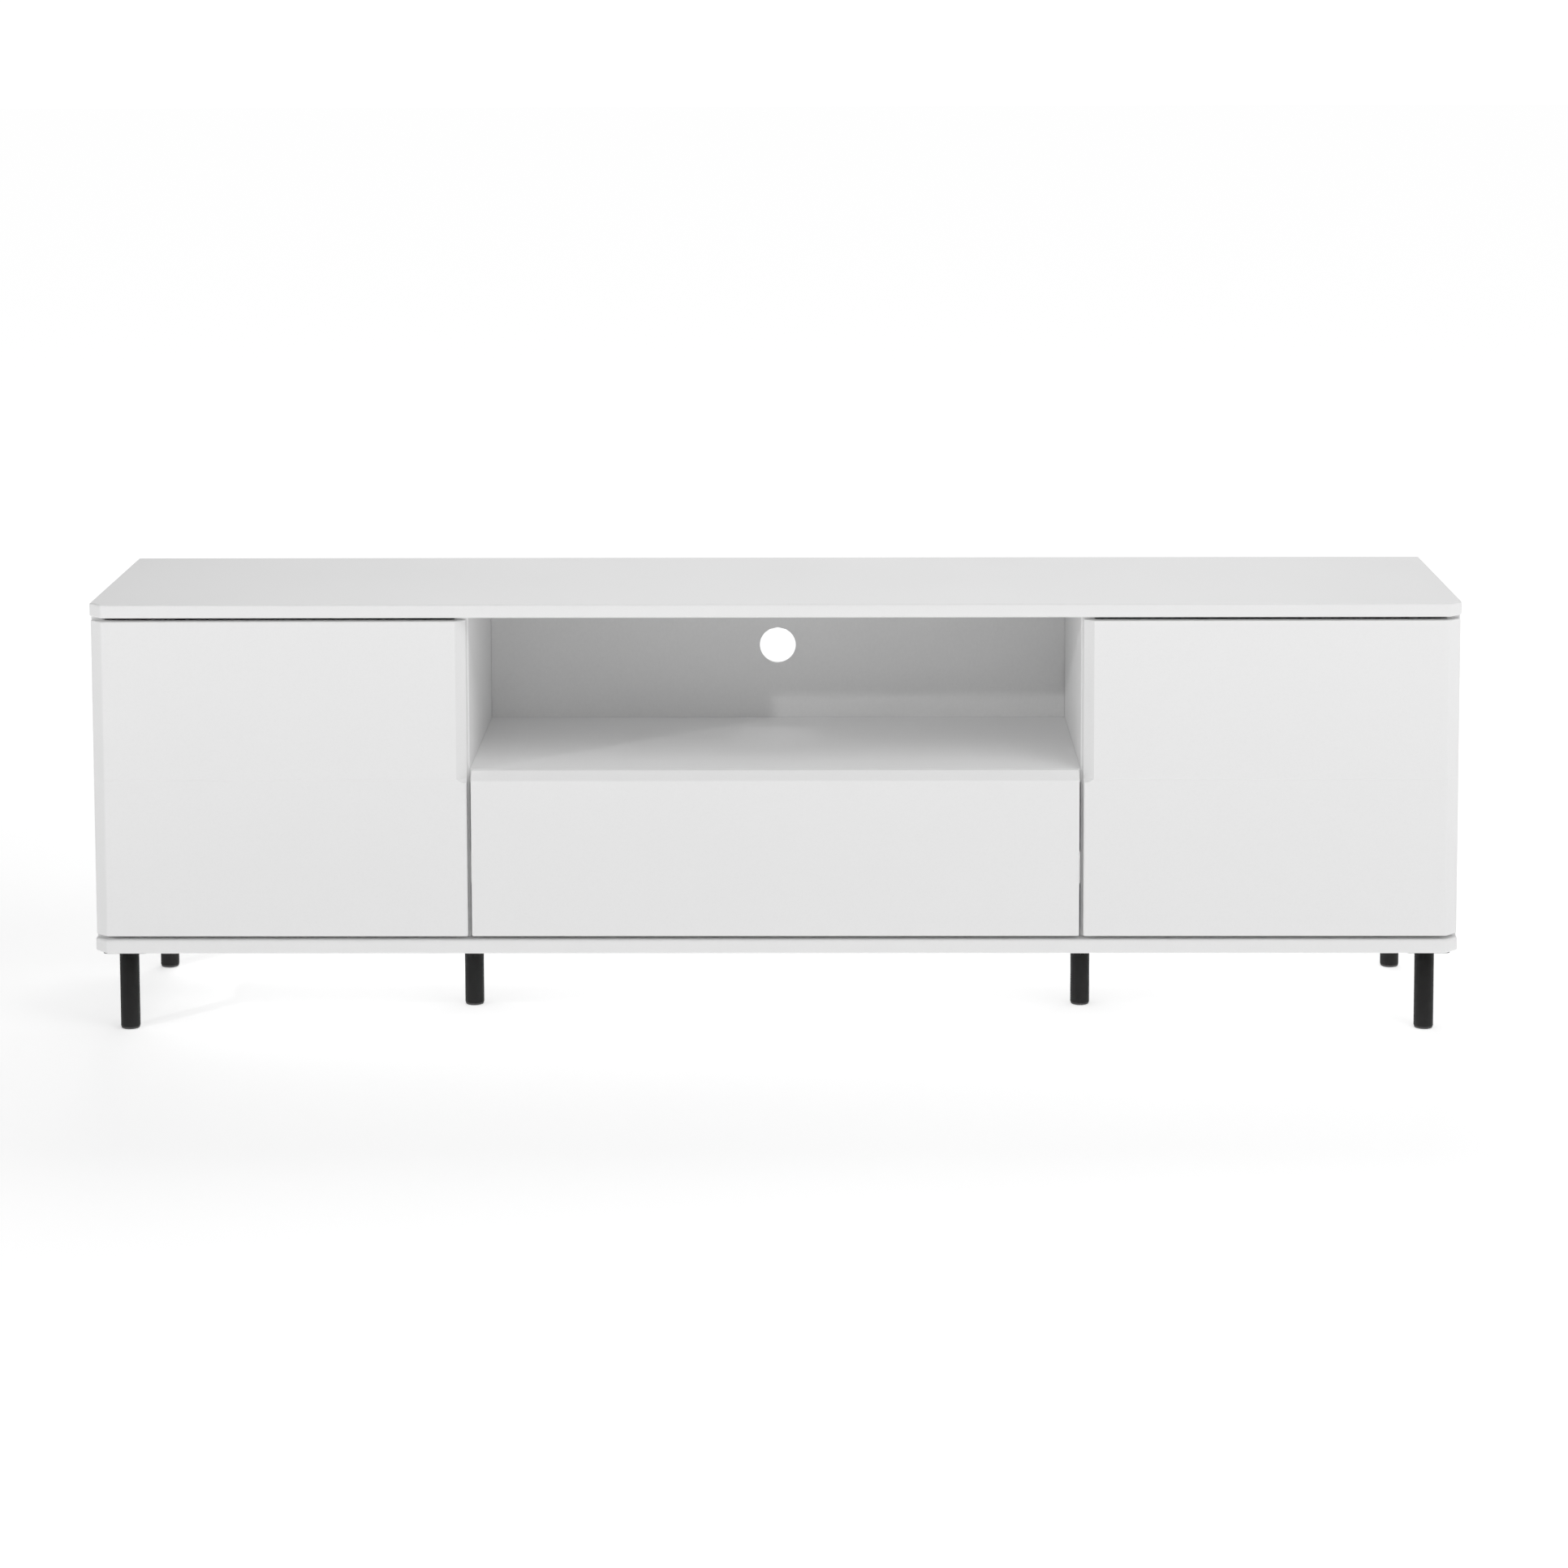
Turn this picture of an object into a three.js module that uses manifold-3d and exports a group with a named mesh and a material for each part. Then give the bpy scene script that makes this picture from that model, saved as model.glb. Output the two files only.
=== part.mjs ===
// Low TV stand: two hinged doors, an open niche above one drawer, six round legs.
// Millimetres. X runs to the right, Y to the back, Z up. The origin is on the floor under the middle.

import * as THREE from "three";
import { mergeVertices } from "three/addons/utils/BufferGeometryUtils.js";
import Module from "manifold-3d";

const wasm = await Module();
wasm.setup();

// ---- driving sizes -----------------------------------------------------------------------------

const width = 1800;
const depth = 400;
const legHeight = 110;
const board = 18; // thickness of every lacquered panel
const reveal = 5; // shadow gap above and below the doors
const doorHeight = 420;
const setback = 1.5; // the doors and side panels stand back this far from the edges of top and base
const plateCorner = { cut: 17.5, arris: 6 }; // front corners of top and base: a 45 degree cut, edges rounded
const doorCorner = { cut: 16.5, arris: 5 }; // the same on the outer edge of a door
const edgeRound = 2.5; // softened edges of the top and the base
const drawerFrontRound = 1; // softened ends of the drawer front
const nicheWidth = 805; // clear width between the dividers
const doorOverlap = 3; // how far each divider shows past the edge of its door
const drawerFrontGap = 2.5; // between an end of the drawer front and the divider beside it
const bumperGap = 2; // between the back of the fronts and the carcass
const fitGap = 0.3; // play of a board in its groove or against its neighbour
const cutOver = 2; // how far a cutting shape runs past the face it cuts

// ---- levels and planes that follow from them -----------------------------------------------------

const halfWidth = width / 2;
const baseTop = legHeight + board;
const frontsBottom = baseTop + reveal;
const frontsTop = frontsBottom + doorHeight;
const topUnderside = frontsTop + reveal;

const plateFront = -depth / 2;
const frontFace = plateFront + setback;
const frontsBack = frontFace + board;
const carcassFront = frontsBack + bumperGap;
const rearFace = depth / 2;

const sideOuter = halfWidth - setback;
const sideInner = sideOuter - board;
const nicheHalf = nicheWidth / 2;
const dividerOuter = nicheHalf + board;
const doorInner = nicheHalf + doorOverlap;
const drawerFrontHalf = nicheHalf - drawerFrontGap;

// ---- joinery, fittings and pulls -----------------------------------------------------------------

const backBoard = { thickness: 8, front: 174, grooveDepth: 5 };
const floorBackGap = 0.8; // between the niche floor and the back board
const nicheFloorTop = 353;
const cableHole = { radius: 25, z: (nicheFloorTop + topUnderside) / 2 };

const grooveLine = { z: (frontsBottom + frontsTop) / 2, halfHeight: 1.1, depth: 0.35 };
const doorPull = { width: 13, end: 345.5, runOut: 7 }; // 45 degree bevel and the height of its rounded end
const drawerPull = 12; // 45 degree bevel along the top of the drawer front

const cupboardShelf = { thickness: 16, front: -140, endGap: 1, backGap: 2 };
const shelfPin = { radius: 2.5, inPanel: 9, out: 9, chamfer: 0.5, level: 330, frontY: -100, backY: 130 };
const pinHole = { radius: 2.55, depth: 10 };

const hinge = { fromEdge: 28, fromEnd: 90 }; // centre of the cup, from the edge and ends of the door
const hingeCup = { radius: 17.5, depth: 11.5, wall: 1.5, flange: 1, flangeRadius: 19.5 };
const hingeWing = { halfLength: 31, halfWidth: 8, round: 7 };
const cupPocket = { radius: 17.6, depth: 12 };
const mountPlate = {
  wing: 3,
  wingY: [-150, -128],
  wingHalf: 24,
  ridge: 10,
  ridgeY: [-162, -112],
  ridgeHalf: 6,
};
const arm = {
  back: -112,
  bendBack: -168,
  bendFront: -176,
  front: -188,
  thickness: 6,
  crank: 5,
  halfHeight: 8,
};

const railBox = { gap: 12.7, front: -176, length: 300, level: 220, sheet: 1.2 };
// Web and lip tips are measured from the face of the divider towards the drawer.
const rails = {
  cabinet: { web: 0, lipTip: 9.5, halfTall: 22.5 },
  middle: { web: 3.4, lipTip: 10.5, halfTall: 19 },
  drawer: { web: railBox.gap, lipTip: 5.8, halfTall: 15.5 },
};
const drawerBox = { side: 12, bottom: 150, top: 290, back: 150 };
const drawerFloor = { z: 160, thickness: 4, grooveDepth: 5 };

const leg = { radius: 13, wall: 1.5, plate: 60, plateThickness: 2.5, plateRound: 6, weld: 0.5 };
const glide = { radius: 12.5, thickness: 3, plug: 12, play: 0.2 };
const legInset = 40; // from the outer edges to the middle of a corner leg
const middleLegY = -40;

const roundSegments = 32;
const pinSegments = 16;
const cornerSegments = 4;
const bevelSegments = 3;
const weldDistance = 1e-4; // points of one shape closer than this are the same point

// ---- materials -----------------------------------------------------------------------------------

const finishes = {
  lacquer: { color: 0xe4e4e4, roughness: 0.5, metalness: 0 },
  backBoard: { color: 0xd8d8d8, roughness: 0.7, metalness: 0 },
  drawerBox: { color: 0xdedede, roughness: 0.6, metalness: 0 },
  blackSteel: { color: 0x1c1c1c, roughness: 0.55, metalness: 0.4 },
  blackPlastic: { color: 0x161616, roughness: 0.7, metalness: 0 },
  plainSteel: { color: 0xb4b6b8, roughness: 0.35, metalness: 1 },
};

// ---- shapes --------------------------------------------------------------------------------------

// Outline through corners [x, y, radius], walked counter-clockwise, each rounded by an arc of its radius.
function roundedOutline(corners) {
  const points = corners.flatMap(([x, y, radius], i) => {
    const here = new THREE.Vector2(x, y);
    if (radius === 0) return [here];
    const towards = (j) => {
      const [nextX, nextY] = corners[(j + corners.length) % corners.length];
      return new THREE.Vector2(nextX, nextY).sub(here).normalize();
    };
    const before = towards(i - 1);
    const after = towards(i + 1);
    const halfAngle = Math.acos(before.dot(after)) / 2;
    const middle = before.clone().add(after).normalize();
    const centre = here.clone().addScaledVector(middle, radius / Math.sin(halfAngle));
    const sweep = Math.PI / 2 - halfAngle;
    const outwards = Math.atan2(-middle.y, -middle.x);
    return Array.from({ length: cornerSegments + 1 }, (_, k) => {
      const angle = outwards + sweep * ((2 * k) / cornerSegments - 1);
      return new THREE.Vector2(centre.x + radius * Math.cos(angle), centre.y + radius * Math.sin(angle));
    });
  });
  return new THREE.Shape(points);
}

function roundedRectangle([x0, x1], [y0, y1], radius) {
  return roundedOutline([
    [x0, y0, radius],
    [x1, y0, radius],
    [x1, y1, radius],
    [x0, y1, radius],
  ]);
}

function polygon(points) {
  return new THREE.Shape(points.map(([x, y]) => new THREE.Vector2(x, y)));
}

// Extrusion of a flat shape, with its two end edges rounded by the given radius.
function extrude(shape, from, to, round) {
  const geometry = new THREE.ExtrudeGeometry(shape, {
    depth: to - from - 2 * round,
    bevelEnabled: round > 0,
    bevelThickness: round,
    bevelSize: round,
    bevelOffset: -round,
    bevelSegments,
  });
  geometry.translate(0, 0, from + round);
  return geometry;
}

// Shape drawn in X and Y, extruded along Z.
function extrudeZ(shape, [z0, z1], round = 0) {
  return extrude(shape, z0, z1, round);
}

// Shape drawn in Y and Z, extruded along X.
function extrudeX(shape, [x0, x1], round = 0) {
  const geometry = extrude(shape, x0, x1, round);
  const axes = [new THREE.Vector3(0, 1, 0), new THREE.Vector3(0, 0, 1), new THREE.Vector3(1, 0, 0)];
  return geometry.applyMatrix4(new THREE.Matrix4().makeBasis(...axes));
}

// Shape drawn in Z and X, extruded along Y.
function extrudeY(shape, [y0, y1], round = 0) {
  const geometry = extrude(shape, y0, y1, round);
  const axes = [new THREE.Vector3(0, 0, 1), new THREE.Vector3(1, 0, 0), new THREE.Vector3(0, 1, 0)];
  return geometry.applyMatrix4(new THREE.Matrix4().makeBasis(...axes));
}

function box([x0, x1], [y0, y1], [z0, z1]) {
  const geometry = new THREE.BoxGeometry(x1 - x0, y1 - y0, z1 - z0);
  return geometry.translate((x0 + x1) / 2, (y0 + y1) / 2, (z0 + z1) / 2);
}

// Solid turned about Z from a profile of [radius, level] points.
function turned(profile, segments = roundSegments) {
  const points = profile.map(([r, z]) => new THREE.Vector2(r, z));
  return new THREE.LatheGeometry(points, segments).rotateX(Math.PI / 2);
}

function cylinderY(radius, x, [y0, y1], z, segments = roundSegments) {
  const geometry = new THREE.CylinderGeometry(radius, radius, y1 - y0, segments);
  return geometry.translate(x, (y0 + y1) / 2, z);
}

function cylinderX(radius, [x0, x1], y, z, segments = pinSegments) {
  const geometry = new THREE.CylinderGeometry(radius, radius, x1 - x0, segments).rotateZ(Math.PI / 2);
  return geometry.translate((x0 + x1) / 2, y, z);
}

function toSolid(geometry) {
  const plain = geometry.clone();
  plain.deleteAttribute("normal");
  plain.deleteAttribute("uv");
  const welded = mergeVertices(plain, weldDistance);
  const mesh = new wasm.Mesh({
    numProp: 3,
    vertProperties: Float32Array.from(welded.attributes.position.array),
    triVerts: Uint32Array.from(welded.index.array),
  });
  return new wasm.Manifold(mesh);
}

function toGeometry(solid) {
  const mesh = solid.getMesh();
  const geometry = new THREE.BufferGeometry();
  geometry.setAttribute("position", new THREE.BufferAttribute(Float32Array.from(mesh.vertProperties), 3));
  geometry.setIndex(new THREE.BufferAttribute(Uint32Array.from(mesh.triVerts), 1));
  const flat = geometry.toNonIndexed();
  flat.computeVertexNormals();
  return flat;
}

function cutFrom(geometry, cutters) {
  let solid = toSolid(geometry);
  for (const cutter of cutters) {
    solid = solid.subtract(toSolid(cutter));
  }
  return toGeometry(solid);
}

function joined(geometries) {
  let solid = toSolid(geometries[0]);
  for (const geometry of geometries.slice(1)) {
    solid = solid.add(toSolid(geometry));
  }
  return toGeometry(solid);
}

// Mirror image in the plane X = 0.
function mirrored(geometry) {
  const copy = geometry.index ? geometry.toNonIndexed() : geometry.clone();
  const position = copy.attributes.position;
  for (let i = 0; i < position.count; i += 3) {
    const corners = [0, 2, 1].map((k) => new THREE.Vector3().fromBufferAttribute(position, i + k));
    corners.forEach((corner, k) => position.setXYZ(i + k, -corner.x, corner.y, corner.z));
  }
  copy.computeVertexNormals();
  return copy;
}

// ---- the assembly --------------------------------------------------------------------------------

const stand = new THREE.Group();
stand.name = "tv_stand";

function add(name, geometry, finish) {
  const mesh = new THREE.Mesh(geometry, new THREE.MeshStandardMaterial(finishes[finish]));
  mesh.name = name;
  stand.add(mesh);
}

// Adds a piece built on the right-hand side, and its mirror image on the left.
function addPair(name, geometry, finish) {
  add(`right_${name}`, geometry, finish);
  add(`left_${name}`, mirrored(geometry), finish);
}

// ---- carcass -------------------------------------------------------------------------------------

function horizontalPanel(z0) {
  const { cut, arris } = plateCorner;
  const plan = roundedOutline([
    [-halfWidth, plateFront + cut, arris],
    [-halfWidth + cut, plateFront, arris],
    [halfWidth - cut, plateFront, arris],
    [halfWidth, plateFront + cut, arris],
    [halfWidth, rearFace, 0],
    [-halfWidth, rearFace, 0],
  ]);
  return extrudeZ(plan, [z0, z0 + board], edgeRound);
}

const grooveFront = backBoard.front - fitGap / 2;
const grooveBack = backBoard.front + backBoard.thickness + fitGap / 2;

function pinHoleAt(face, outward, y) {
  const mouth = face + outward * cutOver;
  const end = face - outward * pinHole.depth;
  const span = [Math.min(mouth, end), Math.max(mouth, end)];
  return cylinderX(pinHole.radius, span, y, shelfPin.level);
}

function pinHoles(face, outward) {
  return [shelfPin.frontY, shelfPin.backY].map((y) => pinHoleAt(face, outward, y));
}

function sidePanel() {
  const d = backBoard.grooveDepth;
  const plan = polygon([
    [sideInner, carcassFront],
    [sideOuter, carcassFront],
    [sideOuter, rearFace],
    [sideInner, rearFace],
    [sideInner, grooveBack],
    [sideInner + d, grooveBack],
    [sideInner + d, grooveFront],
    [sideInner, grooveFront],
  ]);
  return cutFrom(extrudeZ(plan, [baseTop, topUnderside]), pinHoles(sideInner, -1));
}

function divider() {
  const d = backBoard.grooveDepth;
  const plan = polygon([
    [nicheHalf, carcassFront],
    [dividerOuter, carcassFront],
    [dividerOuter, grooveFront],
    [dividerOuter - d, grooveFront],
    [dividerOuter - d, grooveBack],
    [dividerOuter, grooveBack],
    [dividerOuter, rearFace],
    [nicheHalf, rearFace],
    [nicheHalf, grooveBack],
    [nicheHalf + d, grooveBack],
    [nicheHalf + d, grooveFront],
    [nicheHalf, grooveFront],
  ]);
  return cutFrom(extrudeZ(plan, [baseTop, topUnderside]), pinHoles(dividerOuter, 1));
}

function backPanel(x0, x1) {
  const y = [backBoard.front, backBoard.front + backBoard.thickness];
  const reach = backBoard.grooveDepth - fitGap;
  return box([x0 - reach, x1 + reach], y, [baseTop, topUnderside]);
}

function nicheBackPanel() {
  const y = [backBoard.front - cutOver, backBoard.front + backBoard.thickness + cutOver];
  return cutFrom(backPanel(-nicheHalf, nicheHalf), [cylinderY(cableHole.radius, 0, y, cableHole.z)]);
}

function addCarcass() {
  add("top_panel", horizontalPanel(topUnderside), "lacquer");
  add("base_panel", horizontalPanel(legHeight), "lacquer");
  addPair("side_panel", sidePanel(), "lacquer");
  addPair("divider", divider(), "lacquer");
  const floorDepth = [carcassFront, backBoard.front - floorBackGap];
  const floorLevels = [nicheFloorTop - board, nicheFloorTop];
  add("niche_floor_panel", box([-nicheHalf, nicheHalf], floorDepth, floorLevels), "lacquer");
  add("centre_back_board", nicheBackPanel(), "backBoard");
  addPair("back_board", backPanel(dividerOuter, sideInner), "backBoard");
}

// ---- cupboard shelves on their pins ----------------------------------------------------------------

function pin(face, outward, y) {
  const { radius, inPanel, out, chamfer } = shelfPin;
  const profile = [
    [0, -inPanel],
    [radius - chamfer, -inPanel],
    [radius, chamfer - inPanel],
    [radius, out - chamfer],
    [radius - chamfer, out],
    [0, out],
  ];
  const geometry = turned(profile, pinSegments).rotateY((outward * Math.PI) / 2);
  return geometry.translate(face, y, shelfPin.level);
}

function addCupboardShelves() {
  const { thickness, front, endGap, backGap } = cupboardShelf;
  const underside = shelfPin.level + shelfPin.radius;
  const x = [dividerOuter + endGap, sideInner - endGap];
  const y = [front, backBoard.front - backGap];
  addPair("cupboard_shelf", box(x, y, [underside, underside + thickness]), "lacquer");
  for (const [end, pinY] of [["front", shelfPin.frontY], ["back", shelfPin.backY]]) {
    addPair(`outer_${end}_shelf_pin`, pin(sideInner, -1, pinY), "plainSteel");
    addPair(`inner_${end}_shelf_pin`, pin(dividerOuter, 1, pinY), "plainSteel");
  }
}

// ---- doors and their hinges ------------------------------------------------------------------------

const cupX = sideOuter - hinge.fromEdge;
const hingeLevels = { lower: frontsBottom + hinge.fromEnd, upper: frontsTop - hinge.fromEnd };

function grooveCutter() {
  const { z, halfHeight, depth: cut } = grooveLine;
  const section = polygon([
    [frontFace + cut, z],
    [frontFace, z + halfHeight],
    [frontFace - cutOver, z + halfHeight],
    [frontFace - cutOver, z - halfHeight],
    [frontFace, z - halfHeight],
  ]);
  return extrudeX(section, [doorInner - cutOver, halfWidth + cutOver]);
}

function pullCutters() {
  const corner = [doorInner - cutOver, frontFace - cutOver];
  const bevel = polygon([
    [doorInner - cutOver, frontFace + doorPull.width + cutOver],
    corner,
    [doorInner + doorPull.width + cutOver, frontFace - cutOver],
  ]);
  const wide = doorPull.width + cutOver;
  const runOut = new THREE.ConeGeometry(wide, wide, roundSegments);
  runOut.scale(1, 1, doorPull.runOut / doorPull.width);
  runOut.translate(doorInner, frontFace - cutOver + wide / 2, doorPull.end);
  return [extrudeZ(bevel, [doorPull.end, frontsTop + cutOver]), runOut];
}

function cupPockets() {
  const y = [frontsBack - cupPocket.depth, frontsBack + cutOver];
  return Object.values(hingeLevels).map((z) => cylinderY(cupPocket.radius, cupX, y, z));
}

function door() {
  const { cut, arris } = doorCorner;
  const plan = roundedOutline([
    [doorInner, frontFace, 0],
    [sideOuter - cut, frontFace, arris],
    [sideOuter, frontFace + cut, 0],
    [sideOuter, frontsBack, 0],
    [doorInner, frontsBack, 0],
  ]);
  const slab = extrudeZ(plan, [frontsBottom, frontsTop]);
  return cutFrom(slab, [grooveCutter(), ...pullCutters(), ...cupPockets()]);
}

function cup(z) {
  const { radius, depth: deep, wall, flange, flangeRadius } = hingeCup;
  const { halfLength, halfWidth: wingHalf, round } = hingeWing;
  const flangeY = [frontsBack, frontsBack + flange];
  const rim = cylinderY(flangeRadius, cupX, flangeY, z);
  const bowl = cylinderY(radius, cupX, [frontsBack - deep, frontsBack + flange / 2], z);
  const wingShape = roundedRectangle(
    [z - halfLength, z + halfLength],
    [cupX - wingHalf, cupX + wingHalf],
    round,
  );
  const wings = extrudeY(wingShape, flangeY);
  const inside = cylinderY(radius - wall, cupX, [frontsBack - deep + wall, frontsBack + cutOver], z);
  return toGeometry(toSolid(joined([rim, bowl, wings])).subtract(toSolid(inside)));
}

function hingePlate(z) {
  const { wing, wingY, wingHalf, ridge, ridgeY, ridgeHalf } = mountPlate;
  const wings = box([sideInner - wing, sideInner], wingY, [z - wingHalf, z + wingHalf]);
  const spine = box([sideInner - ridge, sideInner - wing / 2], ridgeY, [z - ridgeHalf, z + ridgeHalf]);
  return joined([wings, spine]);
}

// Seen from above the arm runs along the mounting plate and is cranked towards the side at its front.
function hingeArm(z) {
  const near = sideInner - mountPlate.ridge;
  const far = near - arm.thickness;
  const plan = polygon([
    [far, arm.back],
    [far, arm.front],
    [near + arm.crank, arm.front],
    [near + arm.crank, arm.bendFront],
    [near, arm.bendBack],
    [near, arm.back],
  ]);
  return extrudeZ(plan, [z - arm.halfHeight, z + arm.halfHeight]);
}

function addDoors() {
  addPair("door", door(), "lacquer");
  for (const [level, z] of Object.entries(hingeLevels)) {
    addPair(`${level}_hinge_cup`, cup(z), "plainSteel");
    addPair(`${level}_hinge_arm`, hingeArm(z), "plainSteel");
    addPair(`${level}_hinge_plate`, hingePlate(z), "plainSteel");
  }
}

// ---- drawer and its runners ------------------------------------------------------------------------

const drawerOuter = nicheHalf - railBox.gap;
const drawerInner = drawerOuter - drawerBox.side;

function drawerFront() {
  const section = polygon([
    [frontFace, frontsBottom],
    [frontsBack, frontsBottom],
    [frontsBack, nicheFloorTop],
    [frontFace + drawerPull, nicheFloorTop],
    [frontFace, nicheFloorTop - drawerPull],
  ]);
  return extrudeX(section, [-drawerFrontHalf, drawerFrontHalf], drawerFrontRound);
}

// The side's section has a groove on its inner face that holds the edge of the drawer bottom.
function drawerSide() {
  const low = drawerFloor.z - fitGap / 2;
  const high = drawerFloor.z + drawerFloor.thickness + fitGap / 2;
  const section = polygon([
    [drawerBox.bottom, drawerInner],
    [low, drawerInner],
    [low, drawerInner + drawerFloor.grooveDepth],
    [high, drawerInner + drawerFloor.grooveDepth],
    [high, drawerInner],
    [drawerBox.top, drawerInner],
    [drawerBox.top, drawerOuter],
    [drawerBox.bottom, drawerOuter],
  ]);
  return extrudeY(section, [frontsBack, drawerBox.back]);
}

// Channel section of one rail: web on one face, a lip along the top and the bottom.
function rail({ web, lipTip, halfTall }) {
  const t = railBox.sheet;
  const webFar = web + Math.sign(lipTip - web) * t;
  const z = railBox.level;
  const x = (distance) => nicheHalf - distance;
  const section = polygon([
    [z - halfTall, x(web)],
    [z - halfTall, x(lipTip)],
    [z - halfTall + t, x(lipTip)],
    [z - halfTall + t, x(webFar)],
    [z + halfTall - t, x(webFar)],
    [z + halfTall - t, x(lipTip)],
    [z + halfTall, x(lipTip)],
    [z + halfTall, x(web)],
  ]);
  return extrudeY(section, [railBox.front, railBox.front + railBox.length]);
}

function addDrawer() {
  add("drawer_front", drawerFront(), "lacquer");
  addPair("drawer_side", drawerSide(), "drawerBox");
  const floorTop = drawerFloor.z + drawerFloor.thickness;
  const backY = [drawerBox.back - drawerBox.side, drawerBox.back];
  add("drawer_back", box([-drawerInner, drawerInner], backY, [floorTop, drawerBox.top]), "drawerBox");
  const reach = drawerInner + drawerFloor.grooveDepth - fitGap;
  const floorY = [frontsBack, drawerBox.back];
  add("drawer_bottom", box([-reach, reach], floorY, [drawerFloor.z, floorTop]), "backBoard");
  for (const [name, section] of Object.entries(rails)) {
    addPair(`${name}_rail`, rail(section), "plainSteel");
  }
}

// ---- legs ------------------------------------------------------------------------------------------

function legPiece(x, y) {
  const { radius, wall, plate, plateThickness, plateRound, weld } = leg;
  const plateBottom = legHeight - plateThickness;
  const span = (centre) => [centre - plate / 2, centre + plate / 2];
  const plan = roundedRectangle(span(x), span(y), plateRound);
  const mountingPlate = extrudeZ(plan, [plateBottom, legHeight]);
  const tube = turned([
    [radius - wall, glide.thickness],
    [radius, glide.thickness],
    [radius, plateBottom + weld],
    [radius - wall, plateBottom + weld],
    [radius - wall, glide.thickness],
  ]);
  return joined([mountingPlate, tube.translate(x, y, 0)]);
}

function footGlide(x, y) {
  const plugRadius = leg.radius - leg.wall - glide.play;
  const profile = [
    [0, 0],
    [glide.radius, 0],
    [glide.radius, glide.thickness],
    [plugRadius, glide.thickness],
    [plugRadius, glide.thickness + glide.plug],
    [0, glide.thickness + glide.plug],
  ];
  return turned(profile).translate(x, y, 0);
}

function addLegs() {
  const cornerX = halfWidth - legInset;
  const cornerY = depth / 2 - legInset;
  const middleX = (nicheHalf + dividerOuter) / 2;
  const places = [["front", cornerX, -cornerY], ["middle", middleX, middleLegY], ["rear", cornerX, cornerY]];
  for (const [row, x, y] of places) {
    addPair(`${row}_leg`, legPiece(x, y), "blackSteel");
    addPair(`${row}_foot_glide`, footGlide(x, y), "blackPlastic");
  }
}

addCarcass();
addCupboardShelves();
addDoors();
addDrawer();
addLegs();

export default stand;
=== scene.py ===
"""Low white TV stand with two doors, an open niche, a drawer and six black legs."""

from math import atan2, cos, pi, radians, sin, sqrt, tan

import bmesh
import bpy
from mathutils import Matrix, Vector


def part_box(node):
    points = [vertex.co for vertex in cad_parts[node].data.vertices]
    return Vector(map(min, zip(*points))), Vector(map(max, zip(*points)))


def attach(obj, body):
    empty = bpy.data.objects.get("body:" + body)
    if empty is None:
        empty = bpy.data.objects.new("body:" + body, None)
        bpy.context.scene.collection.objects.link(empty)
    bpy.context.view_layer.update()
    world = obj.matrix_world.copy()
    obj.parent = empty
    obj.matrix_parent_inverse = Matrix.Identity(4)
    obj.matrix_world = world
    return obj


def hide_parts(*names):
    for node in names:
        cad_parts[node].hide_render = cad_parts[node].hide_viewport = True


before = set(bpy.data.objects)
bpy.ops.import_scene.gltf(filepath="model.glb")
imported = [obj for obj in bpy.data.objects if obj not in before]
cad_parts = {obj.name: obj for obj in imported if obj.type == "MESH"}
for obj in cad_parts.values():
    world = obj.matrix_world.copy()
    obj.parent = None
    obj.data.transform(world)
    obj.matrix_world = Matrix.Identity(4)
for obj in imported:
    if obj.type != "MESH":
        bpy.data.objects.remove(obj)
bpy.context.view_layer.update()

MM = 0.001
SIDES = ("left", "right")

scene = bpy.context.scene


# ---- camera --------------------------------------------------------------------------------------

CAMERA_PLACE = (0.0668, -5.321, 1.4335)  # metres
CAMERA_DOWN = radians(5.765)
CAMERA_TURN = radians(0.593)
CAMERA_ROLL = radians(-0.17)
LENS = 91.07
SENSOR = 36
SHIFT_DOWN = 0.28  # share of the frame


def add_camera():
    data = bpy.data.cameras.new("camera")
    data.lens = LENS
    data.sensor_width = SENSOR
    data.shift_y = -SHIFT_DOWN
    camera = bpy.data.objects.new("camera", data)
    turn = Matrix.Rotation(CAMERA_TURN, 4, "Z")
    tilt = Matrix.Rotation(pi / 2 - CAMERA_DOWN, 4, "X")
    roll = Matrix.Rotation(CAMERA_ROLL, 4, "Z")
    camera.matrix_world = Matrix.Translation(CAMERA_PLACE) @ turn @ tilt @ roll
    scene.collection.objects.link(camera)
    scene.camera = camera


# ---- outlines, in millimetres ----------------------------------------------------------------------

ARC_STEPS = 4
QUARTER_TURN = [pi / 2 * k / ARC_STEPS for k in range(ARC_STEPS + 1)]


def rounded(corners, steps=ARC_STEPS):
    """Outline of a polygon whose corners, given as (x, y, radius), are rounded by arcs."""
    outline = []
    for i, (x, y, radius) in enumerate(corners):
        here = Vector((x, y))
        if radius == 0:
            outline.append(here)
            continue
        before = (Vector(corners[i - 1][:2]) - here).normalized()
        after = (Vector(corners[(i + 1) % len(corners)][:2]) - here).normalized()
        half = before.angle(after) / 2
        centre = here + (before + after).normalized() * (radius / sin(half))
        start = here + before * (radius / tan(half)) - centre
        end = here + after * (radius / tan(half)) - centre
        first = atan2(start.y, start.x)
        sweep = (atan2(end.y, end.x) - first + pi) % (2 * pi) - pi
        for k in range(steps + 1):
            angle = first + sweep * k / steps
            outline.append(centre + Vector((cos(angle), sin(angle))) * radius)
    return outline


def circle(x, y, radius, count=32):
    angles = [2 * pi * k / count for k in range(count)]
    return [Vector((x + radius * cos(a), y + radius * sin(a))) for a in angles]


def rectangle(x, y, radius=0.0):
    (x0, x1), (y0, y1) = x, y
    return rounded([(x0, y0, radius), (x1, y0, radius), (x1, y1, radius), (x0, y1, radius)])


SMALLEST_ARRIS = 0.02


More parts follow.
